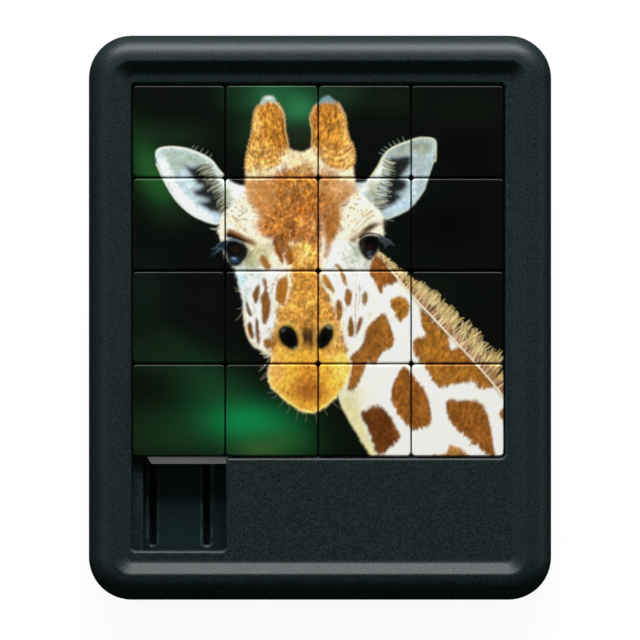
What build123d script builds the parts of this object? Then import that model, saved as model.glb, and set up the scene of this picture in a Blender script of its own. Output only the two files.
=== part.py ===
"""Sliding tile puzzle in a moulded frame.

Sixteen interlocking picture tiles fill a square field, and one parking bay below the field's lower left
corner gives the free space that lets them move. The puzzle lies on its back: +X runs to the right of the
picture, +Y to its top, +Z out of its face. The origin is the centre of the back, on the surface it lies on.

The front frame is one shell: a convex rim, a slope down to a flat deck, and the lips and ledges that hold
the tiles. The slide tray is the floor that the tiles move on; its flange is trapped between the frame's
pocket walls and the back cover. Each tile has a tongue on its east and south sides and a groove in its west
and north sides, so that every tile holds down the next, and a thin rounded picture plate bonded to its top.
All lengths are in millimetres.
"""

import os

from build123d import *

# Tiles
COLUMNS = 4
ROWS = 4
PITCH = 20.0  # from one tile to the next
TILE_GAP = 0.3  # between neighbouring tiles, and between a tile and the frame
TILE_CORNER = 0.8
TILE_HEIGHT = 5.7  # body and picture plate together
PICTURE_THICKNESS = 0.5
PICTURE_EDGE = 0.4  # rounding of the picture plate's upper edge
TILE_SKIN = 1.5  # moulded wall above the hollow under a tile
TILE_WALL = 1.8  # moulded wall round that hollow

# Tongues, grooves and ledges, the same height on the tiles and on the frame
TONGUE_REACH = 1.7
TONGUE_THICKNESS = 1.5
TONGUE_ABOVE_FLOOR = 2.2
TONGUE_LEAD_IN = 1.1  # chamfer at each end of a tongue
TONGUE_SETBACK = 0.4  # from the bottom of a groove to the start of a tongue
TONGUE_CORNER = 0.6
LEDGE_REACH = 2.4  # from the pocket's west and north walls
LEDGE_EDGE = 0.2
RUNNING_CLEARANCE = 0.2  # above and below a tongue in its groove
SIDE_CLEARANCE = 0.3  # at the tip of a tongue or ledge
SLIDE_CLEARANCE = 0.1  # under a tile

# Front frame
OUTER_CORNER = 9.3
RIM_ROUND = 5.9  # radius of the rim's outer rounding, which ends at the crest
SLOPE_WIDTH = 2.6
SLOPE_DROP = 1.6  # from the crest to the deck
SLOPE_CORNER = 1.6  # of the deck's outline
CREST_SOFTENING = 0.8  # radius that blends the rounding into the slope
SLOPE_FOOT = 1.4  # radius that blends the slope into the deck
WEST_DECK = 0.95  # flat strip from the slope to the opening
EAST_DECK = 1.75
NORTH_DECK = 2.3
SOUTH_DECK = 2.4  # below the parking bay
OUTER_WALL = 2.2
DECK_THICKNESS = 1.8
POCKET_WALL = 1.8
POCKET_CORNER = 1.0
POCKET_SPARE = 0.2  # beyond the clearance at a tongue's tip
BAY_SHOULDER = 0.4  # rounding where the bay meets the field
LIP_ROUND = 0.75  # upper edge of the opening
FOOT_ROUND = 0.6  # lower outer edge

# Back cover
COVER_THICKNESS = 1.5
COVER_RECESS = 0.3  # the frame's rim stands this much lower than the cover
COVER_CLEARANCE = 0.1
REBATE_WALL = 1.2  # what is left of the outer wall round the cover

# Slide tray
FLOOR_RISE = 4.6  # the sliding floor above the surface
FLOOR_THICKNESS = 1.2
TRAY_WALL = 1.5
TRAY_CLEARANCE = 0.15  # round the tray
FLANGE_THICKNESS = 0.8
FLANGE_REACH = 1.4  # under the frame's pocket walls
STACK_CLEARANCE = 0.05  # between the tray, the frame above it and the cover below it
RIB_THICKNESS = 1.2
SLOT_WIDTH = 1.2
SLOT_SPACING = 11.7  # between the two slots' centre lines
SLOT_LENGTH = 24.0
SLOT_MARGIN = 0.8  # from the bay's south wall to the slots' ends
SLOT_EDGE = 0.4  # chamfer round the mouth of a slot

# Press pins of the front frame that hold the cover
PIN_RADIUS = 1.1
PIN_LENGTH = 1.2
PIN_CLEARANCE = 0.02
BOSS_RADIUS = 2.1

# Worked out from the driving dimensions
TILE_SIZE = PITCH - TILE_GAP
FIELD_WIDTH = COLUMNS * PITCH + TILE_GAP
FIELD_HEIGHT = ROWS * PITCH + TILE_GAP
BAY_WIDTH = PITCH + TILE_GAP
DECK_INSET = RIM_ROUND + SLOPE_WIDTH
WIDTH = 2 * DECK_INSET + WEST_DECK + FIELD_WIDTH + EAST_DECK
HEIGHT = 2 * DECK_INSET + SOUTH_DECK + PITCH + FIELD_HEIGHT + NORTH_DECK
WEST = DECK_INSET + WEST_DECK - WIDTH / 2  # the opening's edges
EAST = WEST + FIELD_WIDTH
NORTH = HEIGHT / 2 - DECK_INSET - NORTH_DECK
SOUTH = NORTH - FIELD_HEIGHT
BAY_SOUTH = SOUTH - PITCH
DECK_Z = FLOOR_RISE + SLIDE_CLEARANCE + TILE_HEIGHT
CREST_Z = DECK_Z + SLOPE_DROP
LIP_UNDER = DECK_Z - DECK_THICKNESS
TILE_FOOT = FLOOR_RISE + SLIDE_CLEARANCE
TILE_TOP = TILE_FOOT + TILE_HEIGHT - PICTURE_THICKNESS
TONGUE_LOW = FLOOR_RISE + TONGUE_ABOVE_FLOOR
TONGUE_HIGH = TONGUE_LOW + TONGUE_THICKNESS
GROOVE_LOW = TONGUE_LOW - RUNNING_CLEARANCE
GROOVE_HIGH = TONGUE_HIGH + RUNNING_CLEARANCE
GROOVE_DEPTH = LEDGE_REACH - TILE_GAP + SIDE_CLEARANCE
TONGUE_START = GROOVE_DEPTH + TONGUE_SETBACK
LIP_REACH = TONGUE_REACH + SIDE_CLEARANCE - TILE_GAP + POCKET_SPARE  # how far the lips hang over the pocket
COVER_TOP = COVER_RECESS + COVER_THICKNESS
TRAY_FOOT = COVER_TOP + STACK_CLEARANCE
FLANGE_TOP = TRAY_FOOT + FLANGE_THICKNESS
SHOULDER = 1.0  # overlap that joins two features of one moulding


def block(x_low, x_high, y_low, y_high, z_low, z_high):
    """A box between two corners."""
    centre = ((x_low + x_high) / 2, (y_low + y_high) / 2, (z_low + z_high) / 2)
    return Pos(*centre) * Box(x_high - x_low, y_high - y_low, z_high - z_low)


def rounded(inset):
    """The frame's outline moved inwards, with its corners still concentric."""
    corner = max(OUTER_CORNER - inset, 0.3)
    return RectangleRounded(WIDTH - 2 * inset, HEIGHT - 2 * inset, corner)


def prism(sketch, z_low, z_high):
    """A sketch drawn up between two heights."""
    return extrude(Pos(0, 0, z_low) * sketch, amount=z_high - z_low)


def opening(west=0.0, east=0.0, north=0.0, south=0.0, corner=POCKET_CORNER, shoulder=BAY_SHOULDER):
    """The field and the parking bay as one outline, each side moved outwards by the length given."""
    left, right = WEST - west, EAST + east
    top, low, bay_low = NORTH + north, SOUTH - south, BAY_SOUTH - south
    bay_right = WEST + BAY_WIDTH + east
    corners = [(left, top), (left, bay_low), (bay_right, bay_low), (bay_right, low), (right, low), (right, top)]
    shape = make_face(Polyline(*corners, close=True))
    inner = shape.vertices().sort_by_distance((bay_right, low))[0]
    outer = [v for v in shape.vertices() if v.center() != inner.center()]
    return fillet(fillet(outer, corner).vertices().sort_by_distance((bay_right, low))[0], shoulder)


def pocket(extra=0.0):
    """The space below the lips: it runs under the deck on the east and south, where the tongues go."""
    return opening(
        extra, LIP_REACH + extra, extra, LIP_REACH + extra,
        corner=POCKET_CORNER + max(extra, 0.0), shoulder=max(BAY_SHOULDER - extra, 0.2),
    )


def pin_places():
    """Middles of the hollow strips between the outer wall and the pocket's walls."""
    west = (OUTER_WALL - WIDTH / 2 + WEST - POCKET_WALL) / 2
    east = (WIDTH / 2 - OUTER_WALL + EAST + LIP_REACH + POCKET_WALL) / 2
    north = (HEIGHT / 2 - OUTER_WALL + NORTH + POCKET_WALL) / 2
    south = (OUTER_WALL - HEIGHT / 2 + BAY_SOUTH - LIP_REACH - POCKET_WALL) / 2
    tuck = OUTER_CORNER / 8  # corner pins sit a little inwards of both middle lines
    upper, lower = PITCH / 2, SOUTH
    return [
        (west + tuck, north - tuck), (0, north), (east - tuck, north - tuck),
        (west, upper), (east, upper), (west, lower), (east, lower),
        (west + tuck, south + tuck), (0, south + tuck), (east - tuck, south + tuck),
        (0, (SOUTH + BAY_SOUTH) / 2), (EAST / 2, (SOUTH + BAY_SOUTH) / 2),
    ]


def ledges():
    """The frame's own tongue: a shelf along the pocket's west and north walls."""
    west = block(WEST - SHOULDER, WEST + LEDGE_REACH, BAY_SOUTH - LIP_REACH - SHOULDER, NORTH + SHOULDER,
                 TONGUE_LOW, TONGUE_HIGH)
    north = block(WEST - SHOULDER, EAST + LIP_REACH + SHOULDER, NORTH - LEDGE_REACH, NORTH + SHOULDER,
                  TONGUE_LOW, TONGUE_HIGH)
    shelf = west + north
    tip = [
        e for e in shelf.edges().filter_by_position(Axis.Z, TONGUE_HIGH - 0.01, TONGUE_HIGH + 0.01)
        if WEST < e.center().X < EAST + LIP_REACH and BAY_SOUTH - LIP_REACH < e.center().Y < NORTH
    ]
    return fillet(tip, LEDGE_EDGE)


def front_frame():
    """The shell that shows: rim, slope, deck, lips and ledges, with pins under the deck for the cover."""
    shell = prism(rounded(0), 0, CREST_Z)
    shell = fillet(shell.edges().group_by(Axis.Z)[-1], RIM_ROUND)
    shell = fillet(shell.edges().group_by(Axis.Z)[0], FOOT_ROUND)
    deck_outline = RectangleRounded(WIDTH - 2 * DECK_INSET, HEIGHT - 2 * DECK_INSET, SLOPE_CORNER)
    shell -= loft([Pos(0, 0, DECK_Z) * deck_outline, Pos(0, 0, CREST_Z) * rounded(RIM_ROUND)], ruled=True)
    shell = fillet(shell.edges().filter_by_position(Axis.Z, CREST_Z - 0.01, CREST_Z + 0.01), CREST_SOFTENING)
    shell = fillet(shell.edges().filter_by_position(Axis.Z, DECK_Z - 0.01, DECK_Z + 0.01), SLOPE_FOOT)
    shell -= prism(opening(), LIP_UNDER - SHOULDER, CREST_Z)
    edge = LIP_ROUND
    rim_of_opening = [
        e for e in shell.edges().filter_by_position(Axis.Z, DECK_Z - 0.01, DECK_Z + 0.01)
        if WEST - edge / 2 < e.center().X < EAST + edge / 2
        and BAY_SOUTH - edge / 2 < e.center().Y < NORTH + edge / 2
    ]
    spare = min(WEST_DECK, EAST_DECK, NORTH_DECK, SOUTH_DECK)
    shell = fillet(rim_of_opening, min(edge, 0.8 * spare))
    shell -= prism(pocket(), 0, LIP_UNDER)
    shell -= prism(rounded(OUTER_WALL) - pocket(POCKET_WALL), 0, LIP_UNDER)
    bosses = Part() + [
        Pos(x, y, (COVER_TOP + LIP_UNDER + SHOULDER) / 2) * Cylinder(BOSS_RADIUS, LIP_UNDER + SHOULDER - COVER_TOP)
        for x, y in pin_places()
    ]
    shell += bosses
    shell -= prism(rounded(REBATE_WALL), -SHOULDER, COVER_TOP)
    shell -= prism(pocket(POCKET_WALL), 0, FLANGE_TOP + STACK_CLEARANCE)
    shell += ledges()
    pins = Part() + [
        Pos(x, y, COVER_TOP + (SHOULDER - PIN_LENGTH) / 2) * Cylinder(PIN_RADIUS, PIN_LENGTH + SHOULDER)
        for x, y in pin_places()
    ]
    return shell + pins


def slots():
    """Two long slots through the floor, which leave a strip between them that gives under a parked tile."""
    middle = WEST + BAY_WIDTH / 2
    low = BAY_SOUTH + SLOT_MARGIN
    centre_y = low + SLOT_LENGTH / 2
    return [
        Pos(middle + side * SLOT_SPACING / 2, centre_y, 0) * Rot(0, 0, 90) * SlotOverall(SLOT_LENGTH, SLOT_WIDTH)
        for side in (-1, 1)
    ]


def ribs():
    """Stiffening ribs under the floor, one below each joint between tiles, clear of the slots."""
    half = RIB_THICKNESS / 2
    top = FLOOR_RISE - FLOOR_THICKNESS / 2
    slots_end = BAY_SOUTH + SLOT_MARGIN + SLOT_LENGTH
    upright = [
        block(x - half, x + half, SOUTH - SHOULDER, NORTH - SHOULDER, TRAY_FOOT, top)
        for x in (WEST + TILE_GAP / 2 + PITCH * k for k in range(1, COLUMNS))
    ]
    level = [
        block(WEST + SHOULDER, EAST + SHOULDER, y - half, y + half, TRAY_FOOT, top)
        for y in (NORTH - TILE_GAP / 2 - PITCH * k for k in range(1, ROWS))
        if y - half > slots_end
    ]
    return upright + level


def slide_tray():
    """The floor that the tiles slide on, with a flange round its foot and a hollow, ribbed underside."""
    tray = prism(pocket(-TRAY_CLEARANCE), TRAY_FOOT, FLOOR_RISE)
    tray += prism(pocket(FLANGE_REACH), TRAY_FOOT, FLANGE_TOP)
    tray -= prism(pocket(-TRAY_CLEARANCE - TRAY_WALL), 0, FLOOR_RISE - FLOOR_THICKNESS)
    for rib in ribs():
        tray += rib
    for slot in slots():
        tray -= prism(slot, 0, FLOOR_RISE + SHOULDER)
    half_span = SLOT_SPACING / 2 + SLOT_WIDTH
    middle = WEST + BAY_WIDTH / 2
    slot_top = BAY_SOUTH + SLOT_MARGIN + SLOT_LENGTH
    mouths = [
        e for e in tray.edges().filter_by_position(Axis.Z, FLOOR_RISE - 0.01, FLOOR_RISE + 0.01)
        if abs(e.center().X - middle) < half_span and BAY_SOUTH < e.center().Y < slot_top + SLOT_EDGE
    ]
    return chamfer(mouths, SLOT_EDGE)


def back_cover():
    """The plate that closes the back, flush in the frame's rebate, with a hole for each press pin."""
    cover = prism(rounded(REBATE_WALL + COVER_CLEARANCE), COVER_RECESS, COVER_TOP)
    for x, y in pin_places():
        cover -= Pos(x, y, COVER_TOP / 2) * Cylinder(PIN_RADIUS + PIN_CLEARANCE, COVER_TOP + SHOULDER)
    return cover


def tongue():
    """An L-shaped plate along a tile's east and south sides, cut back and chamfered at both ends."""
    size, reach, start = TILE_SIZE, TONGUE_REACH, TONGUE_START
    tip = start + TONGUE_LEAD_IN
    root = start + SHOULDER
    shape = make_face(Polyline(
        (start, 0), (tip, -reach), (size + reach, -reach), (size + reach, size - tip),
        (size, size - start), (size - SHOULDER, size - start), (size - SHOULDER, SHOULDER), (root, SHOULDER),
        close=True,
    ))
    corner = shape.vertices().sort_by_distance((size + reach, -reach))[0]
    return prism(fillet(corner, TONGUE_CORNER), TONGUE_LOW, TONGUE_HIGH)


def tile_body():
    """A tile with its lower left corner at X 0, Y 0: tongues east and south, grooves west and north."""
    size = TILE_SIZE
    outline = Pos(size / 2, size / 2) * RectangleRounded(size, size, TILE_CORNER)
    body = prism(outline, TILE_FOOT, TILE_TOP)
    body -= block(-SHOULDER, GROOVE_DEPTH, -SHOULDER, size + SHOULDER, GROOVE_LOW, GROOVE_HIGH)
    body -= block(-SHOULDER, size + SHOULDER, size - GROOVE_DEPTH, size + SHOULDER, GROOVE_LOW, GROOVE_HIGH)
    body += tongue()
    near, far = GROOVE_DEPTH + TILE_WALL, size - TILE_WALL
    side = far - near
    core = Pos((near + far) / 2, (2 * size - near - far) / 2) * RectangleRounded(side, side, TILE_CORNER)
    return body - prism(core, 0, TILE_TOP - TILE_SKIN)


def picture_plate():
    """The thin plate that carries a tile's share of the picture, with its upper edge rounded."""
    size = TILE_SIZE
    outline = Pos(size / 2, size / 2) * RectangleRounded(size, size, TILE_CORNER)
    plate = prism(outline, TILE_TOP, TILE_TOP + PICTURE_THICKNESS)
    return fillet(plate.edges().group_by(Axis.Z)[-1], PICTURE_EDGE)


def tile_place(row, column):
    """Where the lower left corner of a tile stands. Row 1 is the top row and column 1 the left one."""
    return Pos(WEST + TILE_GAP + (column - 1) * PITCH, NORTH - row * PITCH, 0)


def main():
    pieces = {"front_frame": front_frame(), "slide_tray": slide_tray(), "back_cover": back_cover()}
    body, plate = tile_body(), picture_plate()
    for row in range(1, ROWS + 1):
        for column in range(1, COLUMNS + 1):
            place = tile_place(row, column)
            pieces[f"tile_row{row}_col{column}"] = place * body
            pieces[f"picture_row{row}_col{column}"] = place * plate
    for name, shape in pieces.items():
        export_step(shape, f"parts/{name}.step")
    print(f"{len(pieces)} pieces, {WIDTH:.1f} x {HEIGHT:.1f} x {CREST_Z:.1f} mm")


os.makedirs("parts", exist_ok=True)
main()
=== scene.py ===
# %% [markdown]
# # A sliding tile puzzle
# Sixteen square tiles carry one picture, a giraffe's head, in a near-black frame with a raised rim. Below the lower
# left tile is an empty bay where a tile is parked so that the others can move. The frame, its tray and cover and the
# tiles' bodies come from the CAD model and keep their shape: this script gives them their plastics, lays a finely
# divided printed face on each tile, and lights the puzzle on a sheet of opal acrylic, seen from straight above.

import math

import bmesh
import bpy
import numpy as np
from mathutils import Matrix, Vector


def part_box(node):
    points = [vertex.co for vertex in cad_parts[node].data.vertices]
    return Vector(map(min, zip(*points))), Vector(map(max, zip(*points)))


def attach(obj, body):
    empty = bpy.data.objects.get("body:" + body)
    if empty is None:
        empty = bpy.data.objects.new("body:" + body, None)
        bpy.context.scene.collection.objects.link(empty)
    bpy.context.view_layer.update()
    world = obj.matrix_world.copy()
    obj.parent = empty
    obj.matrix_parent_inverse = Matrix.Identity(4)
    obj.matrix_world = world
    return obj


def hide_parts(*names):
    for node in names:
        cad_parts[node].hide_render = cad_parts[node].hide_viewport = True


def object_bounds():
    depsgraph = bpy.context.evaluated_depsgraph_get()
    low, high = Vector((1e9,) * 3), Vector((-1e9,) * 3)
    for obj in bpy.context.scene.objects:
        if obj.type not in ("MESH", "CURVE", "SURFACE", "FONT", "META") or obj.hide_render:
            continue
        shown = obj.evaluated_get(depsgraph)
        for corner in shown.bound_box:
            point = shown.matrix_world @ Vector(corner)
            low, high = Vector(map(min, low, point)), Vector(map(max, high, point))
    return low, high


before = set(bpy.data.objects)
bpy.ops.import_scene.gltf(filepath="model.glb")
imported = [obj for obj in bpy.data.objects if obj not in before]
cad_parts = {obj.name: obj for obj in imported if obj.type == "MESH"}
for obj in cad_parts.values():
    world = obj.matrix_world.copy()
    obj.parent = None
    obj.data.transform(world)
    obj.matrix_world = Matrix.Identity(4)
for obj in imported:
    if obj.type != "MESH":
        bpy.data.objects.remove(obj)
bpy.ops.object.select_all(action="DESELECT")
cad_low, cad_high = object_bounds()
print("CAD box in mm:", [round(1000 * v, 1) for v in cad_high - cad_low])

# %% [markdown]
# ## Sizes
# Everything is placed from the model itself. The picture is one image cut into sixteen squares, so the cell below
# finds where the grid of tiles starts, how far apart its lines are, and where the picture's lower left corner lies,
# from which the picture is measured in millimetres.

# %% The grid of tiles
MM = 0.001
ROWS = COLUMNS = 4
tile_names = [(row, column) for row in range(1, ROWS + 1) for column in range(1, COLUMNS + 1)]
first_low, first_high = (Vector(corner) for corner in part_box("picture_row1_col1"))
next_low, _ = (Vector(corner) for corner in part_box("picture_row1_col2"))
last_low, _ = (Vector(corner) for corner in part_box("picture_row4_col1"))
PITCH = next_low.x - first_low.x
TILE_GAP = PITCH - (first_high.x - first_low.x)
PICTURE_LEFT = first_low.x - TILE_GAP / 2
PICTURE_FOOT = last_low.y - TILE_GAP / 2
PICTURE_WIDTH = COLUMNS * PITCH / MM
PLATE_TOP = first_high.z
PLATE_THICKNESS = first_high.z - first_low.z
print(f"pitch {PITCH / MM:.2f} mm, gap {TILE_GAP / MM:.2f} mm, picture {PICTURE_WIDTH:.1f} mm wide")

# %% [markdown]
# ## The picture
# On the real object the picture is a printed film. Here it is painted in millimetres, on a canvas of small squares
# that later becomes the colour of each tile's face. An image file would be the usual way, but this script draws its
# own: shapes are a few given points joined by smooth curves, and fur is noise that is smeared along the lie of
# the hair. Colours are kept linear, as light adds up, and are written as sRGB hex values.

# %% Colour and canvas
CELL = 0.125  # mm, finer than the print can be told apart at arm's length
GRAIN_SEED = 11
cells = int(round(PICTURE_WIDTH / CELL)) + 1
across = np.arange(cells) * CELL
X, Y = np.meshgrid(across, across)
canvas = np.zeros((cells, cells, 3))
rng = np.random.default_rng(GRAIN_SEED)


def linear(hex_colour):
    """An sRGB hex colour as linear red, green and blue."""
    parts = np.array([int(hex_colour[k : k + 2], 16) for k in (0, 2, 4)]) / 255
    return np.where(parts <= 0.04045, parts / 12.92, ((parts + 0.055) / 1.055) ** 2.4)


print(f"canvas of {cells} by {cells} squares of {CELL} mm")

# %% [markdown]
# A mask says how much paint lands on each square, from 0 to 1. `curve` rounds off given points, `shape` fills
# the curve they make, `spot` makes a soft patch, and `line` draws a hair or a crease that tapers. Each works only in
# the box that it needs. `washes`, `dabs` and `strokes` then paint a list of them in order, one over another.


# %% Brushes
def curve(points, closed=True, steps=8):
    """Catmull-Rom curve through the points."""
    p = np.array(points, float)
    if closed:
        a, b, c, d = np.roll(p, 1, 0), p, np.roll(p, -1, 0), np.roll(p, -2, 0)
    else:
        q = np.vstack([2 * p[0] - p[1], p, 2 * p[-1] - p[-2]])
        a, b, c, d = q[:-3], q[1:-2], q[2:-1], q[3:]
    t = (np.arange(steps) / steps)[:, None, None]
    body = 0.5 * (2 * b + (c - a) * t + (2 * a - 5 * b + 4 * c - d) * t**2 + (3 * b - a - 3 * c + d) * t**3)
    smooth = body.transpose(1, 0, 2).reshape(-1, 2)
    return smooth if closed else np.vstack([smooth, p[-1]])


def window(points, margin):
    """The slices of the canvas that hold the points, with a margin in mm."""
    low = np.clip((np.min(points, 0) - margin) / CELL, 0, cells - 1).astype(int)
    high = np.clip((np.max(points, 0) + margin) / CELL + 1, 1, cells).astype(int)
    return slice(low[1], max(high[1], low[1] + 1)), slice(low[0], max(high[0], low[0] + 1))


def soften(mask, radius):
    """Blurs a mask with three running means, which together are close to a bell curve."""
    reach = max(int(round(radius / CELL)), 1)
    for _ in range(3):
        for axis in (0, 1):
            padded = np.concatenate([np.repeat(mask.take([0], axis), reach + 1, axis), mask,
                                     np.repeat(mask.take([-1], axis), reach, axis)], axis)
            total = padded.cumsum(axis)
            count = mask.shape[axis]
            upper = total.take(range(2 * reach + 1, 2 * reach + 1 + count), axis)
            mask = (upper - total.take(range(count), axis)) / (2 * reach + 1)
    return mask


def shape(points, soft, ruffle=0.0):
    """A filled outline as (window, mask). Ruffle, in mm, makes its edge ragged along the lie of the fur."""
    outline = curve(points)
    where = window(outline, 3 * soft + ruffle + CELL)
    x, y = X[where] + ruffle * RAGGED_X[where], Y[where] + ruffle * RAGGED_Y[where]
    inside = np.zeros(x.shape, bool)
    for (x0, y0), (x1, y1) in zip(outline, np.roll(outline, -1, 0)):
        if y0 != y1:
            inside ^= ((y0 > y) != (y1 > y)) & (x < (x1 - x0) * (y - y0) / (y1 - y0) + x0)
    return where, soften(inside.astype(float), soft)


def spot(x, y, width, height=None, turn=0.0):
    """A soft round or oval patch as (window, mask): its edge is where it has faded to a third."""
    height = height or width
    reach = 1.5 * max(width, height)
    where = window(np.array([[x - reach, y - reach], [x + reach, y + reach]]), 0)
    c, s = math.cos(math.radians(turn)), math.sin(math.radians(turn))
    dx, dy = X[where] - x, Y[where] - y
    return where, np.exp(-((c * dx + s * dy) * 2 / width) ** 2 - ((c * dy - s * dx) * 2 / height) ** 2)


def line(points, start, end, soft=0.06):
    """A stroke through the points as (window, mask), start and end mm wide."""
    path = curve(points, closed=False, steps=5)
    where = window(path, start + end + 3 * soft)
    x, y = X[where], Y[where]
    best = np.full(x.shape, -9.0)
    count = len(path) - 1
    for k, ((x0, y0), (x1, y1)) in enumerate(zip(path[:-1], path[1:])):
        length2 = (x1 - x0) ** 2 + (y1 - y0) ** 2 + 1e-12
        t = np.clip(((x - x0) * (x1 - x0) + (y - y0) * (y1 - y0)) / length2, 0, 1)
        half = (start + (end - start) * (k + t) / count) / 2
        best = np.maximum(best, half - np.hypot(x - x0 - t * (x1 - x0), y - y0 - t * (y1 - y0)))
    return where, np.clip(best / (2 * soft + CELL) + 0.5, 0, 1)


def paint(stamp, hex_colour, strength=1.0):
    """Lays a colour through a stamp, which is a (window, mask) pair."""
    where, mask = stamp
    amount = (strength * mask)[..., None]
    canvas[where] = canvas[where] * (1 - amount) + linear(hex_colour) * amount


def washes(layers):
    """Paints shapes, each given as points, softness, maybe ruffle, colour and strength."""
    for points, *edge, colour, strength in layers:
        paint(shape(points, *edge), colour, strength)


def dabs(layers):
    """Paints spots, each given as x, y, width, maybe height and turn, colour and strength."""
    for *place, colour, strength in layers:
        paint(spot(*place), colour, strength)


def strokes(layers):
    """Paints lines, each given as points, start, end and softness, colour and strength."""
    for points, *width, colour, strength in layers:
        paint(line(points, *width), colour, strength)


def keep_inside(stamp, before):
    """Puts back what was on the canvas before, outside the stamp, so that no paint spills over its edge."""
    where, mask = stamp
    cover = np.zeros_like(X)
    cover[where] = mask
    canvas[:] = before + (canvas - before) * cover[..., None]


# %% [markdown]
# Fur needs a direction everywhere. A few comb strokes, each a place and the way its hair lies, are blended by
# distance. White noise smeared along that direction gives streaks like hair, and two strengths of smear give coarse
# locks and fine strands. The same streaks, used as a small shift of the outline, turn a clean edge into a furry one.

# %% Lie of the fur
COMB = [  # x, y, then the direction in degrees that the hair points away from its root
    (29, 74, 100), (30, 68, 95), (27, 63, 80), (42, 74, 85), (44, 68, 70), (46, 63, 60), (36, 66, 90),
    (9, 63, 150), (14, 57, 215), (18, 56, 215), (23, 57, 200), (62, 65, 40), (57, 61, -10), (55, 55, -40),
    (36, 58, 95), (33, 52, 110), (39, 52, 70), (44, 55, 45), (28, 55, 150), (24, 52, 165), (50, 52, 20),
    (23, 46, 200), (52, 47, -20), (32, 45, 255), (37, 44, 270), (42, 45, 280), (27, 41, 250), (47, 41, 285),
    (25, 35, 250), (29, 33, 262), (33, 36, 265), (38, 36, 270), (43, 35, 280), (48, 34, 262), (46, 29, 255),
    (26, 27, 290), (34, 23, 255), (38, 23, 270), (42, 23, 285), (31, 18, 225), (38, 16, 270), (45, 18, 315),
    (38, 11, 270), (52, 38, 285), (52, 28, 250), (49, 20, 240), (58, 31, 260), (60, 12, 265), (54, 6, 260),
    (68, 24, 235), (72, 14, 250), (75, 7, 255), (66, 32, 50), (74, 25, 48), (62, 37, 52), (79, 20, 45),
]
COARSE_LOCK = 1.5  # mm, length of a lock of hair
FINE_STRAND = 0.8


def comb_field():
    """Unit direction of the hair at every square."""
    dx, dy, total = np.zeros_like(X), np.zeros_like(X), np.zeros_like(X)
    for x, y, angle in COMB:
        weight = 1 / ((X - x) ** 2 + (Y - y) ** 2 + 2.0) ** 1.5
        dx += weight * math.cos(math.radians(angle))
        dy += weight * math.sin(math.radians(angle))
        total += weight
    length = np.hypot(dx, dy) + 1e-9
    return dx / length, dy / length


def smear(noise, length):
    """Averages noise along the lie of the hair, and evens it out to a spread of one."""
    steps = int(length / CELL)
    rows, columns = np.indices(X.shape)
    total = np.zeros_like(X)
    for k in range(-steps // 2, steps // 2 + 1):
        shade = 0.5 + 0.5 * math.cos(2 * math.pi * k / (steps + 2))
        r = np.clip(np.rint(rows + k * COMB_Y), 0, cells - 1).astype(int)
        c = np.clip(np.rint(columns + k * COMB_X), 0, cells - 1).astype(int)
        total += shade * noise[r, c]
    return (total - total.mean()) / total.std()


def cloud(size):
    """Smooth random patches about `size` mm across, with a spread of one."""
    field = soften(rng.standard_normal(X.shape), size / 3)
    return (field - field.mean()) / field.std()


COMB_X, COMB_Y = comb_field()
locks = smear(soften(rng.standard_normal(X.shape), 0.13), COARSE_LOCK)
strands = smear(rng.standard_normal(X.shape), FINE_STRAND)
mottle = cloud(1.6)
fine_mottle = cloud(0.5)
RAGGED_X = COMB_X * (0.35 * locks + 0.7 * strands)
RAGGED_Y = COMB_Y * (0.35 * locks + 0.7 * strands)
print("fur streaks made")


def fur(stamp, depth, fleck, lift=0.0):
    """Shades what is under a stamp by streaks and by blotches, which go lighter and darker, and lifts it all."""
    where, mask = stamp
    tone = lift + depth * (0.6 * locks[where] + 0.6 * strands[where])
    tone = tone + fleck * (0.5 * mottle[where] + 0.8 * fine_mottle[where])
    canvas[where] *= np.exp(np.clip(tone, -0.9, 0.6) * mask)[..., None]


# %% [markdown]
# ### Background
# Out-of-focus leaves: almost black, with a few wide green glows.

# %% Background
canvas[:] = linear("060a07")
GLOWS = [  # x, y, width, height, turn, colour, strength
    (36, 75, 9, 7, 0, "2a8050", 0.85), (29.5, 77.5, 13, 7, 0, "22603a", 0.85), (44, 78, 12, 6, 0, "1c3824", 0.7),
    (26, 70, 8, 9, 0, "18341d", 0.6), (36, 69, 8, 7, 0, "1c2817", 0.8), (56, 77, 10, 6, 0, "101c10", 0.7),
    (4, 62, 7, 14, 20, "235c2a", 0.75), (7, 57, 5, 8, 30, "1e5a28", 0.55), (8, 69, 16, 6, 0, "132a17", 0.7),
    (10, 53, 10, 6, 0, "112214", 0.6), (22, 78, 8, 4, 0, "102618", 0.5),
    (3, 36, 10, 12, 0, "101d16", 0.7), (4, 22, 18, 8, -10, "112818", 0.7), (10, 24, 16, 6, -30, "102617", 0.6),
    (18, 15, 18, 10, -25, "164122", 0.7), (12, 5, 34, 12, 0, "163619", 0.75), (26, 7, 20, 9, -8, "057a42", 0.9),
    (24, 8, 11, 5, 0, "06874a", 0.5), (31, 3, 14, 6, 0, "275828", 0.7), (27, 1.5, 8, 3, 0, "3c5a30", 0.6),
    (16, 33, 10, 14, 0, "0a0c10", 0.6), (72, 74, 16, 8, 0, "0e130c", 0.7), (62, 58, 12, 8, 0, "09100b", 0.6),
    (68, 50, 16, 10, 0, "010302", 0.8), (72, 66, 14, 12, 0, "010202", 0.7), (54, 44, 8, 10, 0, "08110c", 0.6),
    (78, 57, 8, 20, 0, "040705", 0.6), (66, 37, 10, 6, -40, "0b120c", 0.6), (43, 6, 10, 10, 0, "091009", 0.6),
]
dabs(GLOWS)
print(f"{len(GLOWS)} glows in the background")

# %% [markdown]
# ### Neck and mane
# A cream neck with brown patches, each a little ragged where the two colours of hair overlap. The mane is more than
# a thousand short hairs that stand up along the back of the neck, lightest at their tips.

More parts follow.
